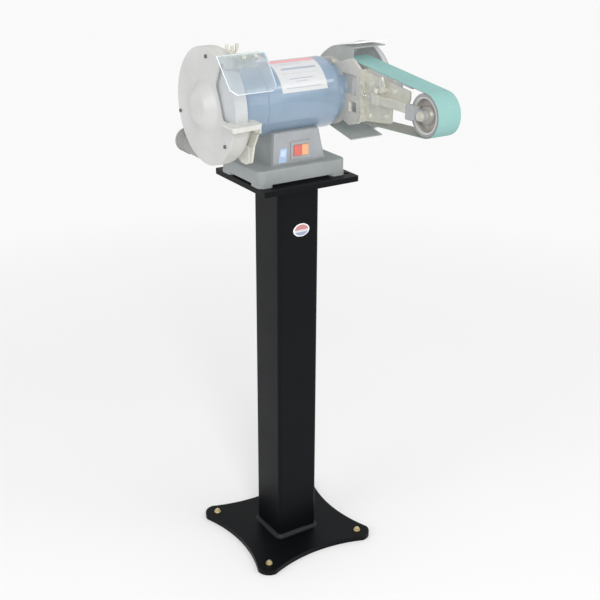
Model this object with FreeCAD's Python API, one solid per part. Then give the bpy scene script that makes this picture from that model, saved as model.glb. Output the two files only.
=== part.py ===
import FreeCAD, Part
import math
import os

os.makedirs("parts", exist_ok=True)
Vec = FreeCAD.Vector

# Belt and disc sander with a grinding wheel, on a pedestal.  Millimetres.
# Origin: on the floor under the column axis.  +Z up, +X along the motor shaft
# towards the belt head, -Y towards the person working at the belt (the front).
# "Left" is -X, the wheel side; "right" is +X, the belt side.

# pedestal
COL_W, COL_T, COL_R = 95.0, 5.0, 7.0           # square column: width, wall, corner radius
COL_HALF = COL_W / 2.0
BASE_T = 11.0                                  # floor plate thickness
BOLT_C = 115.3                                 # floor bolts at +-BOLT_C in x and y
LOBE_R = 27.0                                  # corner lobe radius of the floor plate
SIDE_MID = 120.5                               # half width at the middle of a side
SIDE_R = 310.0                                 # radius of the concave sides
TOP_X, TOP_Y, TOP_T = 214.4, 196.7, 11.0       # top plate
TOP_Z0 = 823.3                                 # underside of the top plate
TOP_Z1 = TOP_Z0 + TOP_T
SLOT_X, SLOT_Y = 80.5, 57.0                    # slot centres, mirrored to four corners
SLOT_L, SLOT_W = 52.0, 9.0
SLOT_DIR = (0.737, 0.676)                      # direction of a slot

# base casting
CAST_X0, CAST_X1, CAST_Y0, CAST_Y1 = -107.0, 90.0, -77.0, 75.0
CAST_Z0, CAST_Z1 = 840.0, 868.0
NECK_Y0 = -56.0                                # front face of the neck
PANEL_Y0 = NECK_Y0 - 1.6                       # front face of the switch panel
BEZEL_X0, BEZEL_X1, BEZEL_Z0, BEZEL_Z1 = -27.0, 17.0, 877.0, 911.0
CORD_X, CORD_Z = 45.0, 853.0                   # where the cord leaves the casting

# motor
SHAFT_Z = 986.0                                # shaft height; the shaft is at y = 0
MOTOR_R, MOTOR_WALL = 69.0, 4.0
BODY_X0, BODY_X1 = -80.0, 72.0                 # motor tube
LEFT_BELL_X = -129.0                           # left bell face
BOSS_X, BOSS_R = 107.5, 55.0                   # right bell boss: the head swings on it

# wheel side
WHEEL_R, WHEEL_X0, WHEEL_X1 = 101.5, -169.0, -144.0
WHEEL_BORE = 8.0                               # bore radius
GUARD_R, GUARD_T = 109.7, 3.2                  # guard radius and wall
GUARD_X0, GUARD_X1 = -174.5, -129.0
COVER_X = GUARD_X0 - 3.5                       # outer face of the cover sheet
PAD_Z = 1085.5                                 # top of the shield pad on the guard

# belt head
BELT_W, BELT_T = 50.8, 1.2
BELT_X0 = 108.0
BELT_X1 = BELT_X0 + BELT_W
DRIVE_R = 50.4
CONTACT_Y, CONTACT_Z, CONTACT_R = -287.7, 991.3, 39.6
WHEELS_X0, WHEELS_X1 = BELT_X0 + 1.5, BELT_X1 - 0.8    # both belt wheels
RUN = 0.05                                     # belt to wheel running gap
SLOPE = 0.1035                                 # rise of the top run towards the motor
PLATEN_Y0, PLATEN_Y1 = -245.0, -44.0
DISC_R, DISC_X0 = 89.0, 180.0


# ---------------------------------------------------------------------------
# helpers
# ---------------------------------------------------------------------------
def box(x0, x1, y0, y1, z0, z1):
    x0, x1 = min(x0, x1), max(x0, x1)
    y0, y1 = min(y0, y1), max(y0, y1)
    return Part.makeBox(x1 - x0, y1 - y0, z1 - z0, Vec(x0, y0, z0))


def cyl_x(x0, x1, y, z, radius):
    x0, x1 = min(x0, x1), max(x0, x1)
    return Part.makeCylinder(radius, x1 - x0, Vec(x0, y, z), Vec(1, 0, 0))


def cyl_y(y0, y1, x, z, radius):
    return Part.makeCylinder(radius, y1 - y0, Vec(x, y0, z), Vec(0, 1, 0))


def cyl_z(z0, z1, x, y, radius):
    return Part.makeCylinder(radius, z1 - z0, Vec(x, y, z0), Vec(0, 0, 1))


def shaft_cyl(x0, x1, radius):
    return cyl_x(x0, x1, 0, SHAFT_Z, radius)


def shaft_ring(x0, x1, outer, inner):
    return shaft_cyl(x0, x1, outer).cut(shaft_cyl(x0 - 1, x1 + 1, inner))


def on_circle(radius, degrees):
    """(y, z) of a point round the shaft line."""
    angle = math.radians(degrees)
    return radius * math.cos(angle), SHAFT_Z + radius * math.sin(angle)


def around_shaft(shape, degrees):
    turned = shape.copy()
    turned.rotate(Vec(0, 0, SHAFT_Z), Vec(1, 0, 0), degrees)
    return turned


def unit_2d(start, end):
    dx, dy = end[0] - start[0], end[1] - start[1]
    length = math.hypot(dx, dy)
    return dx / length, dy / length


def rounded_wire(points, radii, place):
    """Closed wire through 2D points with rounded corners; place maps 2D to 3D."""
    count = len(points)
    if not hasattr(radii, "__len__"):
        radii = [radii] * count
    corners = []                               # start, middle and end of each corner
    for i in range(count):
        corner, radius = points[i], radii[i]
        back = unit_2d(corner, points[i - 1])
        ahead = unit_2d(corner, points[(i + 1) % count])
        dot = max(-1.0, min(1.0, back[0] * ahead[0] + back[1] * ahead[1]))
        angle = math.acos(dot)
        if radius <= 0 or abs(angle - math.pi) < 1e-4:
            corners.append((corner, None, corner))
            continue
        trim = radius / math.tan(angle / 2.0)
        start = (corner[0] + back[0] * trim, corner[1] + back[1] * trim)
        end = (corner[0] + ahead[0] * trim, corner[1] + ahead[1] * trim)
        bisector = unit_2d((0.0, 0.0), (back[0] + ahead[0], back[1] + ahead[1]))
        reach = radius / math.sin(angle / 2.0) - radius
        middle = (corner[0] + bisector[0] * reach, corner[1] + bisector[1] * reach)
        corners.append((start, middle, end))
    edges = []
    for i in range(count):
        start, middle, end = corners[i]
        if middle is not None:
            edges.append(Part.Arc(place(start), place(middle), place(end)).toShape())
        following = corners[(i + 1) % count][0]
        if math.hypot(following[0] - end[0], following[1] - end[1]) > 1e-6:
            edges.append(Part.makeLine(place(end), place(following)))
    return Part.Wire(Part.__sortEdges__(edges))


def prism_x(points, x0, x1, radii=0.0):
    """Prism along X from (y, z) points."""
    wire = rounded_wire(points, radii, lambda p: Vec(x0, p[0], p[1]))
    return Part.Face(wire).extrude(Vec(x1 - x0, 0, 0))


def prism_y(points, y0, y1, radii=0.0):
    """Prism along Y from (x, z) points."""
    wire = rounded_wire(points, radii, lambda p: Vec(p[0], y0, p[1]))
    return Part.Face(wire).extrude(Vec(0, y1 - y0, 0))


def wire_z(points, z, radii):
    """Level wire from (x, y) points."""
    return rounded_wire(points, radii, lambda p: Vec(p[0], p[1], z))


def prism_z(points, z0, z1, radii=0.0):
    """Prism along Z from (x, y) points."""
    return Part.Face(wire_z(points, z0, radii)).extrude(Vec(0, 0, z1 - z0))


def rect(x0, x1, y0, y1):
    return [(x0, y0), (x1, y0), (x1, y1), (x0, y1)]


def round_box(x0, x1, y0, y1, z0, z1, radius):
    """Box with rounded upright edges."""
    return prism_z(rect(x0, x1, y0, y1), z0, z1, radius)


def round_block(half_x, half_y, z0, z1, radius):
    """Rounded box centred on the Z axis."""
    return round_box(-half_x, half_x, -half_y, half_y, z0, z1, radius)


def loft(*wires):
    return Part.makeLoft(list(wires), True, True)


def turned_x(profile, y=0.0, z=SHAFT_Z):
    """Solid of revolution about an X line from (x, radius) points."""
    points = [Vec(x, y, z + radius) for x, radius in profile]
    wire = Part.makePolygon(points + [points[0]])
    return Part.Face(wire).revolve(Vec(0, y, z), Vec(1, 0, 0), 360)


def hex_points(u, v, across, turn=0.0):
    """Hexagon round (u, v), given across its flats."""
    radius = across / math.sqrt(3.0)
    angles = [math.radians(turn + 60 * i) for i in range(6)]
    return [(u + radius * math.cos(a), v + radius * math.sin(a)) for a in angles]


def hex_z(z0, z1, x, y, across, turn=0.0):
    """Hexagon prism along Z with a turned top edge."""
    height = z1 - z0
    radius = across / math.sqrt(3.0)
    cone = Part.makeCone(radius + height * 1.2, across / 2.0 - 0.1, height,
                         Vec(x, y, z0), Vec(0, 0, 1))
    return prism_z(hex_points(x, y, across, turn), z0, z1).common(cone)


def hex_x(x0, x1, y, z, across, turn=0.0):
    return prism_x(hex_points(y, z, across, turn), x0, x1)


def fuse(first, *others):
    for other in others:
        first = first.fuse(other)
    return first.removeSplitter()


def cut(shape, *tools):
    for tool in tools:
        shape = shape.cut(tool)
    return shape


def save(name, *shapes):
    """Write all solids of the shapes to one STEP file."""
    solids = [solid for shape in shapes for solid in shape.Solids]
    whole = solids[0] if len(solids) == 1 else Part.makeCompound(solids)
    whole.exportStep("parts/%s.step" % name)


# ---------------------------------------------------------------------------
# pedestal
# ---------------------------------------------------------------------------
FLOOR_BOLTS = [(BOLT_C, BOLT_C), (-BOLT_C, BOLT_C), (-BOLT_C, -BOLT_C), (BOLT_C, -BOLT_C)]

floor_half = BOLT_C + LOBE_R
floor_plate = round_block(floor_half, floor_half, 0, BASE_T, LOBE_R)
arc_centre = SIDE_MID + SIDE_R
for dx, dy in ((1, 0), (-1, 0), (0, 1), (0, -1)):
    floor_plate = floor_plate.cut(
        cyl_z(-1, BASE_T + 1, dx * arc_centre, dy * arc_centre, SIDE_R))
for x, y in FLOOR_BOLTS:
    floor_plate = floor_plate.cut(cyl_z(-1, BASE_T + 1, x, y, 3.3))
save("floor_plate", floor_plate)

column = round_block(COL_HALF, COL_HALF, BASE_T, TOP_Z0, COL_R)
bore_half = COL_HALF - COL_T
save("column_tube", column.cut(
    round_block(bore_half, bore_half, BASE_T - 1, TOP_Z0 + 1, COL_R - COL_T + 1)))


def weld_bead(z0, z1, width0, width1):
    """Bead round the column, width0 wide at z0 and width1 at z1."""
    def ring(z, width):
        half = COL_HALF + width
        return wire_z(rect(-half, half, -half, half), z, COL_R + width)
    bead = loft(ring(z0, width0), ring(z1, width1))
    return bead.cut(round_block(COL_HALF, COL_HALF, z0 - 1, z1 + 1, COL_R))


save("weld_beads", weld_bead(BASE_T, BASE_T + 7.5, 7.5, 0.8),
     weld_bead(TOP_Z0 - 6.5, TOP_Z0, 0.8, 6.5))

# top plate with four diagonal slots; the machine bolts sit in them
top_plate = round_block(TOP_X / 2, TOP_Y / 2, TOP_Z0, TOP_Z1, 4.0)
machine_bolts_at = []
for side_x in (-1, 1):
    for side_y in (-1, 1):
        angle = math.degrees(math.atan2(side_y * SLOT_DIR[1], side_x * SLOT_DIR[0]))
        slot = round_block(SLOT_L / 2, SLOT_W / 2, TOP_Z0 - 1, TOP_Z1 + 1, SLOT_W / 2 - 0.01)
        slot.rotate(Vec(0, 0, 0), Vec(0, 0, 1), angle)
        slot.translate(Vec(side_x * SLOT_X, side_y * SLOT_Y, 0))
        top_plate = top_plate.cut(slot)
        bolt_x = 88.0 if side_x < 0 else 73.0
        bolt_y = SLOT_Y + SLOT_DIR[1] / SLOT_DIR[0] * (bolt_x - SLOT_X)
        machine_bolts_at.append((side_x * bolt_x, side_y * bolt_y))
save("top_plate", top_plate.cut(cyl_z(TOP_Z0 - 1, TOP_Z1 + 1, 0, 0, 16)))

# floor bolts, each with its head turned differently, and their washers
washer_top = BASE_T + 1.6
bolts, washers = [], []
for i, (x, y) in enumerate(FLOOR_BOLTS):
    bolts.append(fuse(cyl_z(0.6, washer_top, x, y, 3.0),
                      hex_z(washer_top, BASE_T + 6.0, x, y, 10.0, 11.0 + 17.0 * i),
                      cyl_z(BASE_T + 5.5, BASE_T + 8.0, x, y, 2.9)))
    washers.append(cyl_z(BASE_T, washer_top, x, y, 7.0).cut(
        cyl_z(BASE_T - 1, BASE_T + 3, x, y, 3.2)))
save("floor_bolts", *(bolts + washers))

# machine bolts from below, through the slots into the base casting
head_top = TOP_Z0 - 2.0
save("machine_bolts", *[fuse(cyl_z(head_top, 858.0, x, y, 3.95),
                             cyl_z(head_top, TOP_Z0, x, y, 9.0),
                             hex_z(TOP_Z0 - 7.5, head_top, x, y, 13.0))
                        for x, y in machine_bolts_at])

# ---------------------------------------------------------------------------
# base casting with feet and neck, switch
# ---------------------------------------------------------------------------
slab = round_box(CAST_X0, CAST_X1, CAST_Y0, CAST_Y1, CAST_Z0, CAST_Z1, 14.0)
slab = slab.makeFillet(4.0, [edge for edge in slab.Edges
                             if all(abs(v.Z - CAST_Z1) < 1e-6 for v in edge.Vertexes)])
feet = []
for x0, x1 in ((CAST_X0, CAST_X0 + 33.0), (CAST_X1 - 33.0, CAST_X1)):
    for y0, y1 in ((CAST_Y0, CAST_Y0 + 40.0), (CAST_Y1 - 40.0, CAST_Y1)):
        feet.append(round_box(x0, x1, y0, y1, TOP_Z1, CAST_Z0 + 1, 11.0))
neck = loft(wire_z(rect(-67.5, 58.0, NECK_Y0, 54.0), CAST_Z1 - 6, 6.0),
            wire_z(rect(-64.0, 38.0, NECK_Y0, 51.0), 932.5, 6.0))
casting = fuse(slab, neck, *feet)
casting = casting.cut(shaft_cyl(-140, 130, MOTOR_R))

# slab cavity, leaving a post at each bolt joined to the outer walls
cavity = round_box(CAST_X0 + 7, CAST_X1 - 7, CAST_Y0 + 7, CAST_Y1 - 7,
                   CAST_Z0, CAST_Z1 - 6, 8.0)
for x, y in machine_bolts_at:
    out_x, out_y = x + math.copysign(30, x), y + math.copysign(30, y)
    cavity = cut(cavity, cyl_z(CAST_Z0 - 1, CAST_Z1, x, y, 10.0),
                 box(x, out_x, y - 10, y + 10, CAST_Z0 - 1, CAST_Z1),
                 box(x - 10, x + 10, y, out_y, CAST_Z0 - 1, CAST_Z1))
neck_cavity = loft(wire_z(rect(-62.0, 52.0, -50.0, 48.0), CAST_Z1 - 7, 3.0),
                   wire_z(rect(-60.0, 38.5, -50.0, 46.0), 911.0, 3.0))
casting = cut(casting, cavity, neck_cavity)
for x, y in machine_bolts_at:
    casting = casting.cut(cyl_z(TOP_Z1 - 1, 859.0, x, y, 4.0))
switch_hole = box(BEZEL_X0 + 4, BEZEL_X1 - 4, -60, -45, BEZEL_Z0 + 4, BEZEL_Z1 - 4)
save("grinder_base", cut(casting, switch_hole, cyl_y(60, 80, CORD_X, CORD_Z, 5.3),
                         cyl_z(905, 925, -20.0, 0.0, 7.0)))

# switch panel with a fine frame line engraved in its front; (x, z) outlines
PANEL = [(-65.5, 871.5), (50.5, 871.5), (36.8, 931.0), (-63.8, 931.0)]
LINE_OUTER = [(-33.0, 872.9), (48.6, 872.9), (35.7, 929.6), (-33.0, 929.6)]
LINE_INNER = [(-32.1, 873.8), (47.5, 873.8), (35.0, 928.7), (-32.1, 928.7)]
frame_line = prism_y(LINE_OUTER, PANEL_Y0 - 1, -57.3).cut(
    prism_y(LINE_INNER, PANEL_Y0 - 1, -57.3))
save("switch_panel", cut(prism_y(PANEL, PANEL_Y0, NECK_Y0, 1.2), frame_line, switch_hole))

BUTTON_Z0, BUTTON_Z1 = 883.6, 904.4
BUTTONS = [("stop_button", -21.2, -4.6), ("start_button", -3.9, 11.2)]   # name, x0, x1
BUTTON_Y0 = -63.4                              # front of the buttons
switch = fuse(box(BEZEL_X0, BEZEL_X1, -60.6, PANEL_Y0, BEZEL_Z0, BEZEL_Z1),
              box(BEZEL_X0 + 4.2, BEZEL_X1 - 4.2, -58.6, -26.0, BEZEL_Z0 + 4.2, BEZEL_Z1 - 4.2))
for name, x0, x1 in BUTTONS:
    middle = (x0 + x1) / 2
    switch = cut(switch,
                 box(x0 - 0.3, x1 + 0.3, -62, -50.0, BUTTON_Z0 - 0.3, BUTTON_Z1 + 0.3),
                 box(middle - 3.3, middle + 3.3, -51, -36, 890.7, 897.3))
    cap = box(x0, x1, BUTTON_Y0, -54.5, BUTTON_Z0, BUTTON_Z1)
    cap = cap.makeFillet(1.2, [edge for edge in cap.Edges
                               if all(abs(v.Y - BUTTON_Y0) < 1e-6 for v in edge.Vertexes)])
    save(name, fuse(cap, box(middle - 3.0, middle + 3.0, -55, -41.0, 891.0, 897.0)))
save("switch_body", switch)

# ---------------------------------------------------------------------------
# motor; turned profiles are (x, radius)
# ---------------------------------------------------------------------------
TUBE_IN = MOTOR_R - MOTOR_WALL
housing = turned_x([
    (BODY_X0, TUBE_IN), (BODY_X0, MOTOR_R - 0.9), (BODY_X0 + 1.1, MOTOR_R),
    (BODY_X1, MOTOR_R), (BODY_X1, TUBE_IN)])
save("motor_housing", housing.cut(cyl_z(900, 930, -20.0, 0.0, 7.0)))

left_bell = turned_x([
    (BODY_X0, MOTOR_R - 0.9), (BODY_X0 - 1.1, MOTOR_R), (-121.0, MOTOR_R), (-124.6, 68.2),
    (-127.4, 66.0), (-128.7, 63.2), (LEFT_BELL_X, 60.0), (LEFT_BELL_X, 10.6), (-122.6, 10.6),
    (-122.6, 23.5), (-107.0, 23.5), (-107.0, 30.0), (-122.0, 33.0), (-122.0, 60.0),
    (-118.0, 64.0), (BODY_X0, 64.0)])
right_bell = turned_x([
    (BODY_X1, MOTOR_R), (76.0, MOTOR_R), (79.6, 68.2), (82.4, 65.6), (85.0, 60.6),
    (86.0, 57.6), (88.0, 56.6), (97.9, 56.6), (97.9, BOSS_R), (104.15, BOSS_R),
    (104.15, 53.0), (105.95, 53.0), (105.95, BOSS_R), (106.9, BOSS_R - 0.5),
    (BOSS_X, BOSS_R - 2.0), (BOSS_X, 12.0), (92.0, 12.0), (92.0, 23.5), (76.0, 23.5),
    (76.0, 30.0), (99.0, 33.0), (101.0, 36.0), (101.0, 45.0), (97.0, 48.0), (80.0, 50.0),
    (BODY_X1, 50.0)])
through_bolts_at = [on_circle(57.0, degrees) for degrees in (45, 135, 225, 315)]
bolts = []
for y, z in through_bolts_at:
    left_bell = cut(left_bell, cyl_x(LEFT_BELL_X - 1, -110, y, z, 2.6),
                    cyl_x(LEFT_BELL_X - 1, -124.5, y, z, 5.0))
    right_bell = right_bell.cut(cyl_x(BODY_X1 - 1, 79.0, y, z, 2.5))
    bolts.append(fuse(cyl_x(-124.5, 78.0, y, z, 2.45), cyl_x(-128.0, -124.5, y, z, 4.4)))
save("left_end_bell", left_bell)
save("right_end_bell", right_bell)
save("through_bolts", *bolts)

stator = shaft_ring(-55.0, 38.0, TUBE_IN, 36.5)
for y, z in through_bolts_at:
    stator = stator.cut(cyl_x(-60, 45, y, z, 2.7))
SLOT_COUNT = 18
slots = []
for i in range(SLOT_COUNT):
    # wide slot, then its narrow mouth at the bore
    for half_width, low, high in ((1.6, 38.5, 50.0), (0.8, 36.0, 39.0)):
        slot = box(-56, 39, -half_width, half_width, SHAFT_Z + low, SHAFT_Z + high)
        slots.append(around_shaft(slot, 360.0 / SLOT_COUNT * i))
save("stator_core", stator.cut(Part.makeCompound(slots)))


def winding(far, far_in, near_in, near, outer):
    """Winding end; near is the end at the core, outer its greatest radius."""
    return turned_x([(far, 43.0), (far_in, 41.0), (near_in, 41.0), (near, 43.0),
                     (near, outer - 2), (near_in, outer), (far_in, outer), (far, outer - 2)])


save("stator_windings", winding(-74.0, -72.0, -57.0, -55.1, 52.0),
     winding(57.0, 55.0, 40.0, 38.1, 49.0))
save("rotor_core", cut(shaft_ring(-58.0, 41.0, 35.8, 12.02),
                       shaft_ring(-59, -54, 40, 34.5), shaft_ring(37, 42, 40, 34.5)))

# one-piece shaft: wheel seat at the left, drive wheel and disc seat at the right
save("motor_shaft", turned_x([
    (-190.0, 0.0), (-190.0, 7.0), (-189.0, 7.94), (-139.0, 7.94), (-139.0, 10.0),
    (-104.0, 10.0), (-104.0, 12.0), (74.0, 12.0), (74.0, 10.0), (109.4, 10.0),
    (109.4, 8.5), (188.4, 8.5), (189.4, 7.5), (189.4, 0.0)]))

BALL_COUNT = 9
outer_rings, inner_sets = [], []
for x0, x1 in ((-122.5, -108.5), (77.5, 91.5)):
    middle = (x0 + x1) / 2
    race = turned_x([(middle - 2.0, 19.3), (middle + 2.0, 19.3),
                     (middle + 1.0, 20.2), (middle - 1.0, 20.2)])
    outer_rings.append(shaft_ring(x0, x1, 23.47, 19.4).cut(race))
    inner_sets.append(shaft_ring(x0, x1, 14.1, 10.01))
    for i in range(BALL_COUNT):
        y, z = on_circle(16.75, 360.0 / BALL_COUNT * i)
        inner_sets.append(Part.makeSphere(2.55, Vec(middle, y, z)))
save("bearing_outer_rings", *outer_rings)
save("bearing_inner_sets", *inner_sets)

# ---------------------------------------------------------------------------
# wheel side
# ---------------------------------------------------------------------------
# front opening of the guard and cover, (y, z)
NOTCH = [(-39.0, 1031.0), (-74.0, 1100.0), (-150.0, 1100.0), (-150.0, 961.0),
         (-114.0, 965.5), (-66.0, 973.5), (-61.0, 978.0), (-57.0, 992.0), (-50.0, 1009.0)]
notch = prism_x(NOTCH, -200, -100, [14.0, 0, 0, 0, 0, 5.0, 5.0, 10.0, 20.0])
# outer and inner guard shell, (x, radius)
SHELL_OUT = [(GUARD_X0, GUARD_R), (-154.0, GUARD_R), (-148.0, 108.8), (-142.5, 106.0),
             (-137.5, 101.7), (-133.0, 96.2), (GUARD_X1, 89.2)]
SHELL_IN = [(-132.2, 88.2), (-135.5, 94.2), (-139.8, 99.4), (-144.3, 103.4),
            (-149.0, 105.7), (-154.5, GUARD_R - GUARD_T), (GUARD_X0, GUARD_R - GUARD_T)]
SPOUT_X, SPOUT_Z, SPOUT_BORE = -154.5, 893.0, 20.0
EAR_Y, EAR_Z = -66.0, 899.5                    # tool rest bolt
COVER_SCREWS = [(94.6, 96.7), (102.3, -15.0), (96.3, 217.9)]    # radius, angle
BRACKET_SCREWS = [(-164.5, -68.0), (-139.0, -68.0)]             # x, y on the guard pad
SPARK_SCREW = (-120.0, -66.0)                  # x, y

# dust spout at the back, with three collars, ending on the guard shell
spout = cyl_y(50, 128, SPOUT_X, SPOUT_Z, 22.5)
for y0, y1 in ((100.0, 104.0), (110.0, 114.0), (122.0, 128.0)):
    spout = spout.fuse(cyl_y(y0, y1, SPOUT_X, SPOUT_Z, 24.0))
spout = cut(spout, turned_x([(GUARD_X0, 0.0)] + SHELL_OUT + [(GUARD_X1, 0.0)]),
            shaft_cyl(COVER_X - 3.0, GUARD_X0, GUARD_R + 0.05),
            cyl_y(40, 140, SPOUT_X, SPOUT_Z, SPOUT_BORE))
save("dust_spout", max(spout.Solids, key=lambda solid: solid.Volume))

# guard with screw lugs, an ear for the tool rest and a pad for the shield bracket
guard = turned_x(SHELL_OUT + [(GUARD_X1, 34.0), (-132.2, 34.0)] + SHELL_IN)
guard = cut(guard, cyl_y(50, 130, SPOUT_X, SPOUT_Z, SPOUT_BORE), notch)
LUG_R = 4.6
cover_screws = []
for radius, degrees in COVER_SCREWS:
    y, z = on_circle(radius, degrees)
    web = box(GUARD_X0, -170.0, radius, GUARD_R - GUARD_T + 0.4,
              SHAFT_Z - LUG_R, SHAFT_Z + LUG_R)
    lug = fuse(cyl_x(GUARD_X0, -170.0, y, z, LUG_R), around_shaft(web, degrees))
    guard = guard.fuse(lug).cut(cyl_x(GUARD_X0 - 1, -170.5, y, z, 2.05))
    screw = fuse(cyl_x(-171.0, COVER_X, y, z, 2.0), cyl_x(COVER_X - 2.4, COVER_X, y, z, 3.5))
    cover_screws.append(screw.cut(
        box(COVER_X - 4, COVER_X - 1.4, y - 0.6, y + 0.6, z - 5, z + 5)))
ear = prism_x([(-46.0, 926.0), (-80.0, 920.0), (-80.0, 886.0), (-52.0, 886.0), (-28.0, 903.0)],
              GUARD_X1 - GUARD_T, GUARD_X1, [2, 4, 10, 10, 2])
pad = box(-173.0, -134.0, -74.0, -54.0, 1066.0, PAD_Z).cut(
    shaft_cyl(-200, -100, GUARD_R - 0.6))
guard = guard.fuse(ear).fuse(pad)
guard = guard.cut(cyl_x(-133.5, -128.0, EAR_Y, EAR_Z, 4.05))
for x, y in BRACKET_SCREWS:
    guard = guard.cut(cyl_z(1075, 1090, x, y, 2.05))
save("wheel_guard", guard.removeSplitter())
save("cover_screws", *cover_screws)

# cover sheet with a bulge over the shaft end
cover = turned_x([
    (GUARD_X0, 0.0), (GUARD_X0, GUARD_R), (COVER_X + 1.0, GUARD_R), (COVER_X, GUARD_R - 1.0),
    (COVER_X, 51.0), (COVER_X - 1.2, 48.6), (-193.0, 31.0), (-194.6, 28.5), (-195.2, 25.0),
    (-195.2, 0.0)])
cover = cut(cover, turned_x([
    (GUARD_X0 + 1, 0.0), (GUARD_X0 + 1, 46.0), (GUARD_X0, 46.0), (-190.6, 28.0),
    (-192.2, 24.0), (-192.2, 0.0)]), notch)
for radius, degrees in COVER_SCREWS:
    y, z = on_circle(radius, degrees)
    cover = cover.cut(cyl_x(COVER_X - 1, GUARD_X0 + 1, y, z, 2.3))
save("guard_cover", cover)

save("grinding_wheel", turned_x([
    (WHEEL_X0, WHEEL_BORE), (WHEEL_X0, 32.0), (WHEEL_X0 + 0.8, 34.0), (WHEEL_X0, 36.0),
    (WHEEL_X0, WHEEL_R - 1.2), (WHEEL_X0 + 1.2, WHEEL_R), (WHEEL_X1 - 1.2, WHEEL_R),
    (WHEEL_X1, WHEEL_R - 1.2), (WHEEL_X1, 36.0), (WHEEL_X1 - 0.8, 34.0), (WHEEL_X1, 32.0),
    (WHEEL_X1, WHEEL_BORE)]))


def wheel_flange(face, way):
    """Flange on a wheel face; way is its outward direction along X."""
    return turned_x([(face, WHEEL_BORE), (face, 31.5), (face + way * 2.0, 31.5),
                     (face + way * 5.0, 22.0), (face + way * 5.0, WHEEL_BORE)])


save("wheel_flanges", wheel_flange(WHEEL_X1, 1), wheel_flange(WHEEL_X0, -1))

# tool rest: notched table with a front lip, on a slotted side arm
PIVOT_Y, PIVOT_Z = -106.0, 961.0
TABLE = [(-194.5, -93.5), (-194.5, -134.0), (-190.0, -137.5), (-134.0, -131.0),
         (-130.5, -127.5), (-129.2, -98.0), (-132.0, -93.5)]    # x, y
LIP = [(-194.5, -134.0), (-190.0, -137.5), (-134.0, -131.0), (-134.4, -128.2),
       (-189.0, -134.6), (-193.0, -132.0)]                      # x, y
table = prism_z(TABLE, 971.0, 975.0, 2.0)
table = table.cut(box(-172.6, -140.4, -104.3, -80.0, 965, 980))
table_ear = prism_x([(-113.0, 971.5), (-113.0, 954.0), (-100.2, 954.0), (-100.2, 971.5)],
                    -133.2, -129.4, [0, 6.3, 6.3, 0])
table = fuse(table, prism_z(LIP, 966.0, 971.5), table_ear)
save("tool_rest_table", table.cut(cyl_x(-140, -120, PIVOT_Y, PIVOT_Z, 3.05)))

ARM = [(-115.0, 968.5), (-89.0, 968.5), (-85.5, 962.0), (-74.0, 924.0), (-41.0, 906.0),
       (-41.0, 889.0), (-83.0, 889.0), (-92.0, 924.0), (-108.0, 951.0), (-115.0, 953.0)]
ARM_SLOT_Y1, ARM_SLOT_R = EAR_Y + 12.5, 4.05
arm = prism_x(ARM, -128.6, -124.6, [2, 3, 4, 8, 3, 6, 6, 20, 6, 3])
arm = arm.cut(fuse(
    cyl_x(-140, -120, EAR_Y, EAR_Z, ARM_SLOT_R), cyl_x(-140, -120, ARM_SLOT_Y1, EAR_Z, ARM_SLOT_R),
    box(-140, -120, EAR_Y, ARM_SLOT_Y1, EAR_Z - ARM_SLOT_R, EAR_Z + ARM_SLOT_R)))
save("tool_rest_arm", fuse(arm, cyl_x(-135.4, -124.6, PIVOT_Y, PIVOT_Z, 2.95),
                           cyl_x(-135.4, -133.3, PIVOT_Y, PIVOT_Z, 4.3)))
save("tool_rest_bolt", fuse(cyl_x(-132.2, -117.0, EAR_Y, EAR_Z, 3.98),
                            hex_x(-124.0, -118.5, EAR_Y, EAR_Z, 13.0),
                            cyl_x(-124.5, -124.0, EAR_Y, EAR_Z, 8.5)))

# eye shield bracket with two hinge knuckles and a wing nut stud
HINGE_Y, HINGE_Z = -82.0, 1089.6
WING_X, WING_Y = -151.0, -59.5
BRACKET_Z = PAD_Z + 2.2                        # top of the bracket sheet
bracket = box(-170.0, -108.0, -73.5, -57.0, PAD_Z, BRACKET_Z)
for x0, x1 in ((-163.0, -156.0), (-117.0, -110.0)):
    bracket = fuse(bracket, box(x0, x1, HINGE_Y, -73.0, PAD_Z, BRACKET_Z),
                   cyl_x(x0, x1, HINGE_Y, HINGE_Z, 4.0))
    bracket = bracket.cut(cyl_x(x0 - 1, x1 + 1, HINGE_Y, HINGE_Z, 2.05))
for x, y in BRACKET_SCREWS:
    bracket = bracket.cut(cyl_z(1080, 1092, x, y, 2.2))
bracket = bracket.cut(cyl_z(1080, 1092, *SPARK_SCREW, 2.1))
save("shield_bracket", fuse(bracket, cyl_z(PAD_Z, 1103.0, WING_X, WING_Y, 2.88)))

# two screws into the guard, one into the spark plate; (x, y, lower end)
screws = [(x, y, 1078.0) for x, y in BRACKET_SCREWS] + [(*SPARK_SCREW, PAD_Z - 4.0)]
save("bracket_screws", *[fuse(cyl_z(bottom, BRACKET_Z, x, y, 2.0),
                              cyl_z(BRACKET_Z, BRACKET_Z + 2.6, x, y, 4.0))
                         for x, y, bottom in screws])

nut_z0 = PAD_Z + 2.25
nut_z1 = nut_z0 + 7.5                          # top of the nut's hub
wing_nut = fuse(cyl_z(nut_z0, nut_z1, WING_X, WING_Y, 6.3),
                box(WING_X - 13.5, WING_X + 13.5, WING_Y - 1.6, WING_Y + 1.6,
                    nut_z0 + 2.0, 1106.5))
wing_nut = wing_nut.cut(
    box(WING_X - 7.0, WING_X + 7.0, WING_Y - 4, WING_Y + 4, nut_z1, 1110.0))
for side in (-1, 1):
    tip_x = WING_X + side * 14.5
    wing_nut = wing_nut.cut(prism_y(
        [(tip_x, nut_z0), (tip_x, nut_z0 + 14.0), (WING_X + side * 5.5, nut_z0)],
        WING_Y - 8, WING_Y + 8))
wing_nut = fuse(wing_nut, cyl_z(nut_z0, nut_z1, WING_X, WING_Y, 5.6))
save("shield_wing_nut", wing_nut.cut(cyl_z(1080, 1120, WING_X, WING_Y, 2.94)))

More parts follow.
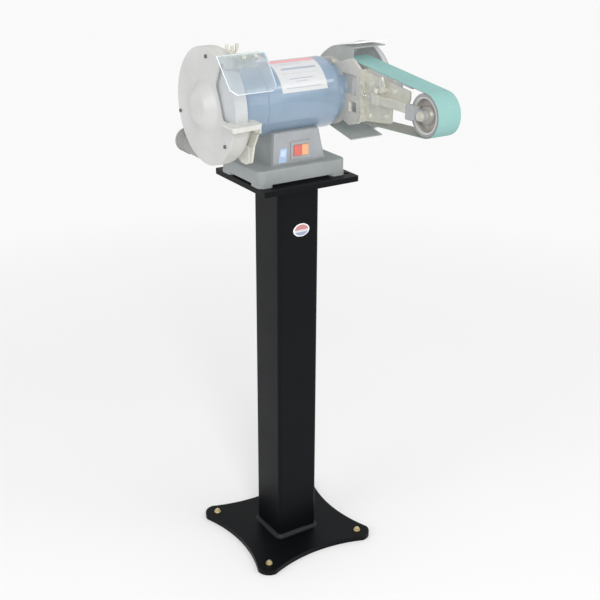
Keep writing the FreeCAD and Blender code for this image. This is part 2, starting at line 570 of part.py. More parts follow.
# hinge strip and window in a sloping frame: "down" runs from the hinge line along
# the window, "out" is square to it, towards the front and up
DOWN = unit_2d((-80.0, 1089.4), (-131.0, 1033.5))
OUT = (DOWN[1], -DOWN[0])
OUT_VEC = Vec(0, OUT[0], OUT[1])
WINDOW_OUT0, WINDOW_OUT1 = 4.02, 6.2
WINDOW = [(-197.0, 0.0), (-98.0, 0.0), (-104.0, 71.0), (-113.0, 80.0), (-186.0, 80.0),
          (-197.0, 69.0)]                      # x, down
SHIELD_SCREWS_X, SHIELD_SCREWS_DOWN = (-146.0, -122.0), 8.6


def shield_yz(down, out):
    return (HINGE_Y + DOWN[0] * down + OUT[0] * out, HINGE_Z + DOWN[1] * down + OUT[1] * out)


def shield_cyl(x, out, radius, length):
    """Cylinder square to the window at a shield screw."""
    start = Vec(x, *shield_yz(SHIELD_SCREWS_DOWN, out))
    return Part.makeCylinder(radius, length, start, OUT_VEC)


leaf = [shield_yz(0, 2.2), shield_yz(14, 2.2), shield_yz(14, 4.0), shield_yz(0, 4.0)]
strip = fuse(cyl_x(-155.8, -117.2, HINGE_Y, HINGE_Z, 4.0), prism_x(leaf, -155.8, -117.2),
             cyl_x(-164.5, -108.5, HINGE_Y, HINGE_Z, 1.98))
window_face = Part.Face(Part.makePolygon(
    [Vec(x, *shield_yz(down, WINDOW_OUT0)) for x, down in WINDOW + WINDOW[:1]]))
window = window_face.extrude(OUT_VEC * (WINDOW_OUT1 - WINDOW_OUT0))
for x in SHIELD_SCREWS_X:
    window = window.cut(shield_cyl(x, 0.0, 2.3, 10))
    strip = strip.cut(shield_cyl(x, 0.0, 2.25, 10))
save("shield_hinge_strip", strip)
save("shield_window", window)
save("shield_screws", *[fuse(shield_cyl(x, 2.3, 2.2, 3.9), shield_cyl(x, WINDOW_OUT1, 4.2, 2.2))
                        for x in SHIELD_SCREWS_X])

# spark plate, bent over the wheel at the top of the opening; (y, z) sections
BEND = [(-77.5, 1075.0), (-84.0, 1067.0), (-82.6, 1065.9), (-75.7, 1074.4)]
spark = prism_x([(-54.0, PAD_Z - 1.8), (-54.0, PAD_Z), (-77.5, PAD_Z)] + BEND
                + [(-75.7, PAD_Z - 1.8)], -128.5, -112.0)
spark = fuse(spark, prism_x([(-77.5, 1082.0)] + BEND + [(-75.7, 1082.0)], -157.0, -112.0))
save("spark_plate", cut(spark, box(-151.0, -134.0, -90.0, -74.5, 1060.0, 1074.0),
                        cyl_z(1080, 1090, *SPARK_SCREW, 2.02)))

# ---------------------------------------------------------------------------
# belt head
# ---------------------------------------------------------------------------
ADAPTER_X0, ADAPTER_X1 = 98.0, 104.0
HOOD_X0, HOOD_X1, HOOD_T = ADAPTER_X1, 179.0, 2.0
FLANGE_Y1 = -102.0                             # bracket flange meets the adapter here
FLANGE_Y0 = FLANGE_Y1 - 6.0
SIDE_X1 = BELT_X0 + 4.0                        # right face of the bracket side plate
ARM_X0, ARM_X1, ARM_Y0, ARM_Y1, ARM_Z0, ARM_Z1 = 95.0, 107.0, -250.0, -150.0, 990.0, 1006.0
ARM_MID_X, ARM_MID_Z = (ARM_X0 + ARM_X1) / 2, (ARM_Z0 + ARM_Z1) / 2
LEVER_Y, LEVER_Z = -174.0, 1016.5
KNOB_X, KNOB_Y = 101.0, -155.5
HOOD_BOLTS = [(-60.0, 1038.0), (-66.0, 951.0)]                 # y, z
ADAPTER_BOLT = (-15.0, 1046.0)                                 # y, z
FLANGE_SCREW_X, FLANGE_SCREWS_Z = 101.0, (1016.0, 966.0)
PLATEN_SCREWS = [(-131.0, 1020.0, 8.0), (-200.0, 1018.0, 8.0)]  # y, z, shank length
SIDE_SCREWS = PLATEN_SCREWS + [(-126.0, 959.0, 7.0), (-176.0, 967.0, 7.0)]

save("retaining_ring", shaft_ring(104.25, 105.85, 58.0, 53.05).cut(
    box(104, 106, 50, 60, SHAFT_Z - 5, SHAFT_Z + 5)))

# adapter plate round the boss, reaching forward to the bracket, with two windows
cut_x0, cut_x1 = ADAPTER_X0 - 1, ADAPTER_X1 + 1
adapter = fuse(shaft_cyl(ADAPTER_X0, ADAPTER_X1, 66.0), prism_x(
    [(-20.0, 1044.0), (-76.0, 1061.0), (FLANGE_Y1, 1045.0), (FLANGE_Y1, 940.0),
     (-71.0, 931.0), (-48.0, 940.0), (-20.0, 950.0)],
    ADAPTER_X0, ADAPTER_X1, [0, 6, 3, 3, 6, 4, 0]))
adapter = cut(
    adapter,
    prism_x([(-95.0, 1030.0), (-40.0, 1030.0), (-40.0, 991.0), (-95.0, 991.0)],
            cut_x0, cut_x1, [4, 0, 0, 4]),
    prism_x([(-95.0, 979.0), (-70.0, 979.0), (-70.0, 958.0), (-95.0, 958.0)],
            cut_x0, cut_x1, 3.0),
    shaft_cyl(cut_x0, cut_x1, BOSS_R + 0.06))
for y, z in HOOD_BOLTS + [ADAPTER_BOLT]:
    adapter = adapter.cut(cyl_x(cut_x0, cut_x1, y, z, 3.0))
for z in FLANGE_SCREWS_Z:
    adapter = adapter.cut(cyl_y(FLANGE_Y1 - 1, FLANGE_Y1 + 7, FLANGE_SCREW_X, z, 1.92))
save("adapter_plate", adapter)

# belt path in (y, z): contact wheel, rear edge of the platen, drive wheel
drive_centre, contact_centre = (0.0, SHAFT_Z), (CONTACT_Y, CONTACT_Z)
DRIVE_RUN_R, CONTACT_RUN_R = DRIVE_R + RUN, CONTACT_R + RUN
EDGE_R = 8.0                                   # radius of the platen's rear edge
top_angle = math.atan2(1.0, -SLOPE)            # outward normal of the top run
tangent_y = CONTACT_Y + CONTACT_RUN_R * math.cos(top_angle)
tangent_z = CONTACT_Z + CONTACT_RUN_R * math.sin(top_angle)


def top_run_z(y):
    """Height of the belt's inner face on the top run."""
    return tangent_z + SLOPE * (y - tangent_y)


edge_centre = (PLATEN_Y1 - EDGE_R * math.cos(top_angle),
               top_run_z(PLATEN_Y1) - EDGE_R * math.sin(top_angle))


def direction(start, end):
    return math.atan2(end[1] - start[1], end[0] - start[0])


def belt_face(offset):
    """Face inside the closed belt path, offset outwards."""
    drive_r, contact_r, edge_r = (r + offset for r in (DRIVE_RUN_R, CONTACT_RUN_R, EDGE_R))
    rear_angle = direction(edge_centre, drive_centre) + math.acos(
        (edge_r - drive_r) / math.dist(drive_centre, edge_centre))
    low_angle = direction(drive_centre, contact_centre) + math.acos(
        (drive_r - contact_r) / math.dist(contact_centre, drive_centre))

    def point(centre, radius, angle):
        return Vec(BELT_X0, centre[0] + radius * math.cos(angle),
                   centre[1] + radius * math.sin(angle))

    # centre, radius, start, middle and end angle of each arc
    arcs = [(edge_centre, edge_r, top_angle, (top_angle + rear_angle) / 2, rear_angle),
            (drive_centre, drive_r, rear_angle,
             (rear_angle + low_angle - 2 * math.pi) / 2, low_angle),
            (contact_centre, contact_r, low_angle, (top_angle + low_angle) / 2, top_angle)]
    edges = []
    last = point(contact_centre, contact_r, top_angle)
    for centre, radius, *angles in arcs:
        start, middle, end = [point(centre, radius, angle) for angle in angles]
        edges += [Part.makeLine(last, start), Part.Arc(start, middle, end).toShape()]
        last = end
    return Part.Face(Part.Wire(edges))


width = Vec(BELT_W, 0, 0)
save("sanding_belt", belt_face(BELT_T).extrude(width).cut(belt_face(0.0).extrude(width)))

# drive wheel on the motor shaft, with six holes
drive = turned_x([
    (WHEELS_X0, 8.52), (WHEELS_X0, 18.0), (WHEELS_X0 + 8.0, 20.0), (WHEELS_X0 + 8.0, 42.0),
    (WHEELS_X0, 43.5), (WHEELS_X0, DRIVE_R - 0.8), (WHEELS_X0 + 0.8, DRIVE_R),
    (WHEELS_X1 - 0.8, DRIVE_R), (WHEELS_X1, DRIVE_R - 0.8), (WHEELS_X1, 43.5),
    (WHEELS_X1 - 10.0, 42.0), (WHEELS_X1 - 10.0, 20.0), (WHEELS_X1, 18.0), (WHEELS_X1, 8.52)])
for i in range(6):
    drive = drive.cut(cyl_x(WHEELS_X0, WHEELS_X1, *on_circle(31.0, 60 * i), 7.0))
save("drive_wheel", drive)

# hood: side sheet, and a sheet wrapped round behind the drive wheel, open to the front
HOOD_OUT = [(-73.0, 1079.5), (-6.0, 1077.5), (37.0, 1050.5), (66.0, 1018.0), (72.0, 985.0),
            (64.0, 950.0), (38.0, 926.0), (2.0, 914.8), (-73.0, 900.6)]      # y, z
HOOD_RADII = [0, 95, 110, 66, 58, 48, 58, 30, 0]
HOOD_IN = [(-76.0, 1077.5), (-6.6, 1075.4), (35.6, 1049.0), (64.1, 1017.0), (70.0, 985.0),
           (62.3, 951.0), (37.0, 927.8), (1.5, 916.8), (-76.0, 902.2)]       # y, z
side_x1 = HOOD_X0 + HOOD_T
side_sheet = prism_x([(-71.0, 1079.4)] + HOOD_OUT[1:8] + [(-20.0, 930.0), (-71.0, 938.5)],
                     HOOD_X0, side_x1, [0] + HOOD_RADII[1:7] + [0, 6, 3])
hood = cut(prism_x(HOOD_OUT, HOOD_X0, HOOD_X1, HOOD_RADII),
           prism_x(HOOD_IN, HOOD_X0 - 1, HOOD_X1 + 1, [max(0, r - 2) for r in HOOD_RADII]),
           box(HOOD_X0 - 1, HOOD_X1 + 1, -80.0, -60.0, 906.0, 1076.5))
hood = fuse(hood, side_sheet).cut(shaft_cyl(HOOD_X0 - 1, HOOD_X0 + 5, 59.0))
for y, z in HOOD_BOLTS:
    hood = hood.cut(cyl_x(HOOD_X0 - 1, HOOD_X0 + 5, y, z, 3.0))
save("belt_hood", hood)

# flat deflector sloping up to the front from the hood top
save("top_deflector", prism_x(
    [(-28.0, 1079.4), (-86.0, 1089.2), (-85.7, 1091.0), (-27.7, 1081.2)], 100.0, 172.0))

# main bracket: bolting flange, side plate inside the belt loop, guide for the
# tension arm, lever stud with its collars, hole for the tracking knob
SIDE_PLATE = [(FLANGE_Y1 - 1.0, 1040.7), (-185.0, 1033.0), (-244.8, 1026.5),
              (-244.8, 1012.0), (-240.6, 1003.0), (-193.0, 1003.0), (-193.0, 957.0),
              (FLANGE_Y1 - 1.0, 945.0)]        # y, z
GAP = 0.08                                     # sliding gap round the arm
main = fuse(box(97.5, SIDE_X1, FLANGE_Y0, FLANGE_Y1, 944.0, 1044.0),
            prism_x(SIDE_PLATE, BELT_X0, SIDE_X1, [0, 0, 2, 2, 1, 3, 4, 0]))
guide = box(ARM_X0 - 2.0, BELT_X0 + 0.1, -166.0, -149.0, ARM_Z0 - 2.0, ARM_Z1 + 2.0)
main = fuse(main, guide.cut(
    box(ARM_X0 - GAP, ARM_X1 + GAP, -200.0, -140.0, ARM_Z0 - GAP, ARM_Z1 + GAP)))
for z in FLANGE_SCREWS_Z:
    main = main.cut(cyl_y(FLANGE_Y0 - 1, FLANGE_Y1 + 1, FLANGE_SCREW_X, z, 1.95))
for y, z, length in SIDE_SCREWS:
    main = main.cut(cyl_x(BELT_X0 - 1, BELT_X0 + 5, y, z, 2.55))
main = fuse(main, cyl_x(96.5, BELT_X0, LEVER_Y, LEVER_Z, 2.98),
            cyl_x(94.5, 96.9, LEVER_Y, LEVER_Z, 5.0), cyl_x(102.6, BELT_X0, LEVER_Y, LEVER_Z, 5.0))
save("main_bracket", main.cut(cyl_z(ARM_Z1 - 0.2, ARM_Z1 + 5, KNOB_X, KNOB_Y, 2.56)))

# platen with a rounded rear edge, carried by a web screwed to the side plate
plate_y1 = PLATEN_Y1 - 1.5
platen = prism_x([(PLATEN_Y0, top_run_z(PLATEN_Y0) - 0.12), (plate_y1, top_run_z(plate_y1) - 0.12),
                  (plate_y1, top_run_z(plate_y1) - 5.1), (PLATEN_Y0, top_run_z(PLATEN_Y0) - 5.1)],
                 BELT_X0 + 4.5, BELT_X1 - 1.3, [2.0, 0, 0, 1.0])
rear_edge = cyl_x(BELT_X0 + 4.5, BELT_X1 - 1.3, *edge_centre, EDGE_R - 0.12).common(
    box(BELT_X0, BELT_X1, PLATEN_Y1 - 4.0, PLATEN_Y1 + 20,
        edge_centre[1] + 2.9, edge_centre[1] + 20))
web = prism_x([(-214.0, top_run_z(-214.0) - 4.5), (-106.0, top_run_z(-106.0) - 4.5),
               (-106.0, 1014.0), (-130.0, 1009.0), (-214.0, 1009.0)],
              SIDE_X1, BELT_X0 + 8.0, [0, 0, 4, 4, 4])
platen = fuse(platen, rear_edge, web)
for y, z, length in PLATEN_SCREWS:
    platen = platen.cut(cyl_x(BELT_X0 + 3, BELT_X0 + 10, y, z, 2.5))
save("platen", platen)

# bolts: flange, side plate, hood, adapter
head_bolts = []
for z in FLANGE_SCREWS_Z:
    head_bolts.append(fuse(
        prism_y(hex_points(FLANGE_SCREW_X, z, 9.0), FLANGE_Y0 - 4.5, FLANGE_Y0),
        cyl_y(FLANGE_Y0, FLANGE_Y1 + 6.5, FLANGE_SCREW_X, z, 1.9)))
for y, z, length in SIDE_SCREWS:
    head_bolts.append(fuse(hex_x(BELT_X0 - 3.6, BELT_X0, y, z, 8.0),
                           cyl_x(BELT_X0, BELT_X0 + length, y, z, 2.48)))
for y, z in HOOD_BOLTS:
    head_bolts.append(fuse(cyl_x(side_x1, side_x1 + 2.6, y, z, 5.0),
                           cyl_x(ADAPTER_X0 + 0.5, side_x1, y, z, 2.98)))
head_bolts.append(fuse(cyl_x(ADAPTER_X0 - 5.0, ADAPTER_X0, *ADAPTER_BOLT, 5.0),
                       cyl_x(ADAPTER_X0, ADAPTER_X1 - 0.2, *ADAPTER_BOLT, 2.98)))
save("head_bolts", *head_bolts)

# tension arm, long edges chamfered, hollow at its rear end for the spring
bar = box(ARM_X0, ARM_X1, ARM_Y0, ARM_Y1, ARM_Z0, ARM_Z1)
bar = bar.makeChamfer(0.8, [edge for edge in bar.Edges
                            if abs(edge.Vertexes[0].Y - edge.Vertexes[1].Y) > 50])
save("tension_arm", bar.cut(cyl_y(ARM_Y1 - 18.5, ARM_Y1 + 1, ARM_MID_X, ARM_MID_Z, 4.7)))

block = fuse(prism_x([(ARM_Y0, 1006.0), (-274.0, 1006.0), (-274.0, 983.0), (-266.0, 979.5),
                      (ARM_Y0, 979.5)], 95.0, 107.8, [1.0, 0, 0, 3, 1.0]),
             prism_x([(-272.0, 1001.5), (-296.7, 1000.3), (-296.7, 982.3), (-272.0, 981.0)],
                     101.0, 107.8, [0, 8.8, 8.8, 0]))
save("axle_block", block.cut(cyl_x(90, 120, *contact_centre, 6.02)))
save("contact_axle", fuse(
    cyl_x(95.5, 158.0, *contact_centre, 6.0), hex_x(95.0, 100.0, *contact_centre, 13.0, 12.0),
    cyl_x(100.0, 101.0, *contact_centre, 8.8), cyl_x(107.8, 158.2, *contact_centre, 9.0),
    hex_x(158.2, 163.5, *contact_centre, 15.0, 5.0)))

save("contact_wheel_hub", turned_x([
    (WHEELS_X0 + 0.5, 9.05), (WHEELS_X0 + 0.5, 15.0), (WHEELS_X0 + 9.0, 19.0),
    (WHEELS_X0 + 11.0, 29.0), (WHEELS_X0 + 0.3, 31.0), (WHEELS_X0 + 0.3, 33.5),
    (WHEELS_X1 - 0.3, 33.5), (WHEELS_X1 - 0.3, 31.0), (WHEELS_X1 - 11.0, 29.0),
    (WHEELS_X1 - 9.0, 19.0), (WHEELS_X1 - 0.5, 15.0), (WHEELS_X1 - 0.5, 9.05)],
    *contact_centre))
save("contact_tyre", turned_x([
    (WHEELS_X0, 33.52), (WHEELS_X0, CONTACT_R - 1.2), (WHEELS_X0 + 1.2, CONTACT_R),
    (WHEELS_X1 - 1.2, CONTACT_R), (WHEELS_X1, CONTACT_R - 1.2), (WHEELS_X1, 33.52)],
    *contact_centre))

# spring between the flange and the bore of the arm
SPRING_PITCH, SPRING_TURNS, SPRING_R, SPRING_WIRE_R = 5.4, 9.0, 3.3, 0.8
helix = Part.makeHelix(SPRING_PITCH, SPRING_PITCH * SPRING_TURNS, SPRING_R)
spring_wire = Part.Circle(Vec(SPRING_R, 0, 0), Vec(0, 1, 0), SPRING_WIRE_R).toShape()
spring = Part.Wire(helix).makePipeShell([Part.Wire([spring_wire])], True, True)
spring.rotate(Vec(0, 0, 0), Vec(1, 0, 0), 90)
bounds = spring.BoundBox
spring.translate(Vec(ARM_MID_X - (bounds.XMin + bounds.XMax) / 2,
                     FLANGE_Y0 - 0.2 - bounds.YMax,
                     ARM_MID_Z - (bounds.ZMin + bounds.ZMax) / 2))
save("tension_spring", spring)

# tension lever on the stud above the guide, with a tapered opening
lever = fuse(cyl_x(97.2, 102.2, LEVER_Y, LEVER_Z, 6.0), prism_x(
    [(-179.5, LEVER_Z), (-168.5, LEVER_Z), (-165.5, 1026.0), (-170.0, 1041.5),
     (-173.5, 1041.5), (-181.0, 1026.0)], 97.6, 101.6, [1, 1, 2, 1.5, 1.5, 2]))
save("tension_lever", cut(
    lever, prism_x([(-177.0, 1024.5), (-169.5, 1024.5), (-171.8, 1036.0)], 90, 110, 0.8),
    cyl_x(90, 120, LEVER_Y, LEVER_Z, 3.04)))

# fluted tracking knob on top of the guide
FLUTES = 10
knob = fuse(cyl_z(ARM_Z1 + 3.6, ARM_Z1 + 11.5, KNOB_X, KNOB_Y, 5.6),
            cyl_z(ARM_Z1 + 0.15, ARM_Z1 + 3.7, KNOB_X, KNOB_Y, 2.5))
for i in range(FLUTES):
    angle = math.radians(360 / FLUTES * i)
    knob = knob.cut(cyl_z(ARM_Z1 + 3, ARM_Z1 + 13, KNOB_X + 6.2 * math.cos(angle),
                          KNOB_Y + 6.2 * math.sin(angle), 1.1))
save("tracking_knob", knob)

# disc plate with its hub, abrasive disc, end nuts
DISC_X1 = DISC_X0 + 10.0                       # right face of the disc plate
save("disc_plate", turned_x([
    (WHEELS_X1, 8.52), (WHEELS_X1, 18.0), (176.0, 18.0), (DISC_X0, 26.0),
    (DISC_X0 + 3.0, 30.0), (DISC_X0 + 3.0, DISC_R - 6.0), (DISC_X0, DISC_R - 4.0),
    (DISC_X0, DISC_R - 0.8), (DISC_X0 + 0.8, DISC_R), (DISC_X1 - 0.8, DISC_R),
    (DISC_X1, DISC_R - 0.8), (DISC_X1, 17.0), (DISC_X0 + 3.5, 16.0), (DISC_X0 + 3.5, 8.52)]))
save("abrasive_disc", shaft_ring(DISC_X1, DISC_X1 + 1.2, DISC_R - 1.0, 19.0))
save("shaft_nuts",
     hex_x(WHEEL_X0 - 12.5, WHEEL_X0 - 5.0, 0, SHAFT_Z, 24.0).cut(shaft_cyl(-200, -150, 7.96)),
     hex_x(DISC_X0 + 3.5, DISC_X0 + 9.0, 0, SHAFT_Z, 22.0).cut(shaft_cyl(170, 210, 8.52)))

# ---------------------------------------------------------------------------
# labels, cord and plug
# ---------------------------------------------------------------------------
# motor label: the part of a thin ring inside a wedge from the shaft line
LABEL_T = 0.35
LABEL_FROM, LABEL_TO, WEDGE_R = 88.0, 161.5, 90.0
wedge = [(0, SHAFT_Z), on_circle(WEDGE_R, LABEL_FROM),
         on_circle(WEDGE_R * 1.4, (LABEL_FROM + LABEL_TO) / 2), on_circle(WEDGE_R, LABEL_TO)]
wedge_face = Part.Face(Part.makePolygon([Vec(-80, y, z) for y, z in wedge + wedge[:1]]))
motor_label = shaft_ring(-48.5, 52.0, MOTOR_R + LABEL_T, MOTOR_R).common(
    wedge_face.extrude(Vec(140, 0, 0)))
panel_label = prism_y([(-53.5, 873.0), (-36.5, 873.0), (-34.5, 899.5), (-49.5, 900.5)],
                      PANEL_Y0 - LABEL_T, PANEL_Y0, 1.0)
# oval badge on the front of the column
oval = Part.Ellipse(Vec(0, 0, 0), 19.0, 13.5).toShape()
badge = Part.Face(Part.Wire([oval])).extrude(Vec(0, 0, LABEL_T))
badge.rotate(Vec(0, 0, 0), Vec(1, 0, 0), 90)
badge.translate(Vec(5.5, -COL_HALF, 725.4))
save("labels", motor_label, panel_label, badge)

# cord hanging behind the pedestal, with its grommet in the casting
CORD_PATH = [(CORD_X, 78.0, CORD_Z), (45.0, 98.0, 851.0), (45.0, 112.0, 838.0),
             (45.0, 114.0, 800.0), (44.0, 114.0, 700.0), (40.0, 114.0, 560.0),
             (44.0, 115.0, 500.0)]
curve = Part.BSplineCurve()
curve.interpolate([Vec(*point) for point in CORD_PATH])
section = Part.Circle(Vec(*CORD_PATH[0]), curve.tangent(curve.FirstParameter)[0], 3.6)
cord = Part.Wire([curve.toShape()]).makePipeShell([Part.Wire([section.toShape()])], True, True)
save("power_cord", fuse(
    cord, cyl_y(66.5, CAST_Y1 + 0.5, CORD_X, CORD_Z, 5.2), cyl_y(CAST_Y1, 79.0, CORD_X, CORD_Z, 9.0),
    Part.makeCone(7.5, 4.4, 9.0, Vec(CORD_X, 78.5, CORD_Z), Vec(0, 1, 0))))

PLUG_X, PLUG_Y = CORD_PATH[-1][:2]
plug = fuse(round_box(PLUG_X - 17, PLUG_X + 17, PLUG_Y - 11, PLUG_Y + 11, 462.0, 494.0, 8.0),
            cyl_z(494.0, 499.5, PLUG_X, PLUG_Y, 6.5))
for dx, dy in ((-6.0, -3.0), (6.0, -3.0), (0.0, 6.0)):
    x, y = PLUG_X + dx, PLUG_Y + dy
    plug = fuse(plug, box(x - 3.0, x + 3.0, y - 0.8, y + 0.8, 446.0, 463.0))
save("power_plug", plug)
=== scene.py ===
"""Bench grinder with a belt sanding head, on a column stand.

Metres, +Z up, origin on the floor under the motor. The motor shaft lies along X,
the front faces -Y, and the sanding head is on the +X side, reaching forward to a
contact wheel.
"""
import math

import bpy
from mathutils import Vector, Matrix


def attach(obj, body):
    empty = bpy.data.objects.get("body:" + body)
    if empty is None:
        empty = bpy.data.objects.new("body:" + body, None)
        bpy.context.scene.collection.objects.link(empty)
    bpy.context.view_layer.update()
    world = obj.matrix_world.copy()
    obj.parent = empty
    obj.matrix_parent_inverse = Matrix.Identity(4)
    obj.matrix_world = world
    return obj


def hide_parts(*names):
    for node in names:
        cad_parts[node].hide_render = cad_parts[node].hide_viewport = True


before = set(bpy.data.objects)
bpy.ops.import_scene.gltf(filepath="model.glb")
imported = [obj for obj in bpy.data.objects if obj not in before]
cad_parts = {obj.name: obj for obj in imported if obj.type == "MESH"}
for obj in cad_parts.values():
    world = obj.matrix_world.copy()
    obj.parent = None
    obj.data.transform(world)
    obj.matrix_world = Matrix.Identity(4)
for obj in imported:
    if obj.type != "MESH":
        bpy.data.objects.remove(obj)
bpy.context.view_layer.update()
scene = bpy.context.scene

SHAFT_Z = 0.986                         # motor shaft height
CONTACT_Y, CONTACT_Z = -0.2877, 0.9913  # contact wheel axle
COLUMN_HALF = 0.0475                    # half width of the square column
PAINTED_FILL_GLOW = 0.20                             # self-lit share of the base colour: painted fill light that lifts the shade on every part


# ---------------------------------------------------------------------------
# node helpers
# ---------------------------------------------------------------------------
class Shader:
    """A material with one Principled surface and short ways to add nodes."""
    SURFACE_INPUTS = {
        "color": "Base Color", "metallic": "Metallic", "rough": "Roughness",
        "coat": "Coat Weight", "coat_rough": "Coat Roughness", "spec": "Specular IOR Level",
    }

    def __init__(self, name, fill=PAINTED_FILL_GLOW):
        self.fill = fill
        self.material = bpy.data.materials.new(name)
        self.material.use_nodes = True
        self.tree = self.material.node_tree
        self.tree.nodes.clear()
        self.output = self.node("OutputMaterial")
        self.principled = self.node("BsdfPrincipled")
        self.show(self.principled.outputs[0])
        self.coords = self.node("TexCoord").outputs

    def node(self, kind, **inputs):
        """Add a node; inputs are given by socket name, with _ for a space."""
        node = self.tree.nodes.new("ShaderNode" + kind)
        for name, value in inputs.items():
            self.put(node.inputs[name.replace("_", " ")], value)
        return node

    def put(self, socket, value):
        """Link an output, or store a plain value, into an input socket."""
        if isinstance(value, bpy.types.NodeSocket):
            self.tree.links.new(value, socket)
        elif isinstance(value, tuple) and socket.type == "RGBA":
            socket.default_value = (*value, 1.0)
        else:
            socket.default_value = value

    def show(self, shader):
        self.put(self.output.inputs[0], shader)

    def stretched(self, scale):
        """Object coordinates scaled per axis."""
        return self.node("Mapping", Scale=scale, Vector=self.coords["Object"]).outputs[0]

    def noise(self, scale, detail=4, rough=0.6, vector=None):
        return self.node("TexNoise", Scale=scale, Detail=detail, Roughness=rough,
                         Vector=vector or self.coords["Object"]).outputs["Fac"]

    def voronoi(self, scale, vector=None):
        return self.node("TexVoronoi", Scale=scale,
                         Vector=vector or self.coords["Object"]).outputs["Distance"]

    def ramp(self, factor, start, end, low=(0.0, 0.0, 0.0), high=(1.0, 1.0, 1.0)):
        node = self.node("ValToRGB")
        stops = ((start, low), (end, high))
        for element, (position, color) in zip(node.color_ramp.elements, stops):
            element.position = position
            element.color = (*color, 1)
        self.put(node.inputs[0], factor)
        return node.outputs[0]

    def math(self, operation, first, second=0.0):
        node = self.node("Math")
        node.operation = operation
        for socket, value in zip(node.inputs, (first, second, 0.0)):
            self.put(socket, value)
        return node.outputs[0]

    def plus(self, first, second):
        return self.math("ADD", first, second)

    def times(self, first, second):
        return self.math("MULTIPLY", first, second)

    def between(self, value, low, high):
        """1 where low < value < high, else 0."""
        return self.times(self.math("GREATER_THAN", value, low),
                          self.math("LESS_THAN", value, high))

    def distance(self, first, second):
        """Length of the vector with these two components."""
        return self.math("SQRT", self.plus(first, second))

    def varied(self, texture, by, base):
        """base + by * texture."""
        return self.plus(self.times(texture, by), base)

    def mix(self, factor, under, over):
        node = self.node("Mix")
        node.data_type = "RGBA"
        # sockets 6 and 7 are the colour pair
        for index, value in ((0, factor), (6, under), (7, over)):
            self.put(node.inputs[index], value)
        return node.outputs[2]

    def patches(self, under, over, texture, start, end, amount=None):
        """Lay one colour over another as the texture rises from start to end."""
        mask = self.ramp(texture, start, end)
        if amount is not None:
            mask = self.times(mask, amount)
        return self.mix(mask, under, over)

    def mix_shader(self, factor, first, second):
        node = self.node("MixShader")
        for socket, value in zip(node.inputs, (factor, first, second)):
            self.put(socket, value)
        return node.outputs[0]

    def bump(self, height, depth, strength=1.0):
        node = self.node("Bump", Distance=depth, Strength=strength, Height=height)
        self.put(self.principled.inputs["Normal"], node.outputs[0])

    def axes(self, vector=None):
        return self.node("SeparateXYZ", Vector=vector or self.coords["Object"]).outputs

    def surface(self, **values):
        """Fill the Principled inputs, add the self-lit share (painted fill light that lifts the
        shade), return the material.
        """
        inputs = self.principled.inputs
        for name, value in values.items():
            self.put(inputs[self.SURFACE_INPUTS[name]], value)
        if self.fill > 0:
            self.put(inputs["Emission Color"], values["color"])
            inputs["Emission Strength"].default_value = self.fill
        return self.material


def shade(color, factor):
    return tuple(max(0.0, min(1.0, channel * factor)) for channel in color)


# ---------------------------------------------------------------------------
# material families
# ---------------------------------------------------------------------------
def paint(name, color, rough=0.42, peel=700.0, peel_depth=0.00006, grime=0.14, coat=0.1,
          mottle=28.0, spec=0.5, coat_rough=0.25, fill=PAINTED_FILL_GLOW):
    """Sprayed enamel: fine orange peel, slow colour drift and small dark specks."""
    g = Shader(name, fill)
    drift = g.noise(scale=mottle, detail=5)
    specks = g.noise(scale=240.0, detail=3, rough=0.5)
    tone = g.patches(shade(color, 1.0 + grime * 0.35), shade(color, 1.0 - grime),
                     drift, start=0.3, end=0.75)
    tone = g.patches(tone, shade(color, 0.8), specks, start=0.55, end=0.8, amount=0.18)
    g.bump(g.noise(scale=peel, detail=2, rough=0.5), peel_depth)
    return g.surface(color=tone, rough=g.varied(drift, by=0.16, base=rough - 0.08),
                     coat=coat, coat_rough=coat_rough, spec=spec)


def metal(name, color, rough, brush=(4.0, 900.0, 900.0), depth=0.00003, stain=None,
          metallic=1.0):
    """Ground or rolled metal; brush stretches the direction marks along its low axes."""
    g = Shader(name)
    streak = g.noise(scale=1.0, detail=6, rough=0.7, vector=g.stretched(brush))
    cloud = g.noise(scale=38.0)
    tone = g.patches(shade(color, 0.86), shade(color, 1.06), streak, start=0.3, end=0.7)
    tone = g.patches(tone, stain or shade(color, 0.72), cloud, start=0.45, end=0.75, amount=0.5)
    g.bump(streak, depth)
    return g.surface(color=tone, metallic=metallic,
                     rough=g.varied(g.plus(streak, cloud), by=0.14, base=rough - 0.10))


def cast(name, color, rough, depth, metallic=0.0, coat=0.1, fill=PAINTED_FILL_GLOW):
    """Painted or bare casting with a pebbled skin."""
    g = Shader(name, fill)
    skin = g.noise(scale=160.0, detail=6, rough=0.65)
    cells = g.voronoi(scale=420.0)
    drift = g.noise(scale=16.0)
    tone = g.patches(shade(color, 1.05), shade(color, 0.84), drift, start=0.3, end=0.75)
    tone = g.patches(tone, shade(color, 0.7), skin, start=0.5, end=0.85, amount=0.35)
    g.bump(g.plus(skin, g.times(cells, 0.35)), depth, strength=0.8)
    return g.surface(color=tone, rough=g.varied(skin, by=0.22, base=rough - 0.1),
                     metallic=metallic, coat=coat, coat_rough=0.35)


def zinc(name, color, drift_color, rough=0.36, metallic=0.45):
    """Zinc plate: spangled patches and a slow drift between two tones."""
    g = Shader(name)
    spangle = g.voronoi(scale=150.0, vector=g.stretched((1, 1, 1)))
    cloud = g.noise(scale=30.0, detail=5, rough=0.65)
    fine = g.noise(scale=700.0, detail=3)
    tone = g.patches(color, drift_color, cloud, start=0.32, end=0.68)
    tone = g.patches(tone, shade(color, 0.80), spangle, start=0.1, end=0.8, amount=0.35)
    g.bump(g.plus(g.times(spangle, 0.4), fine), depth=0.00005)
    return g.surface(color=tone, rough=g.varied(cloud, by=0.25, base=rough - 0.1),
                     metallic=metallic)


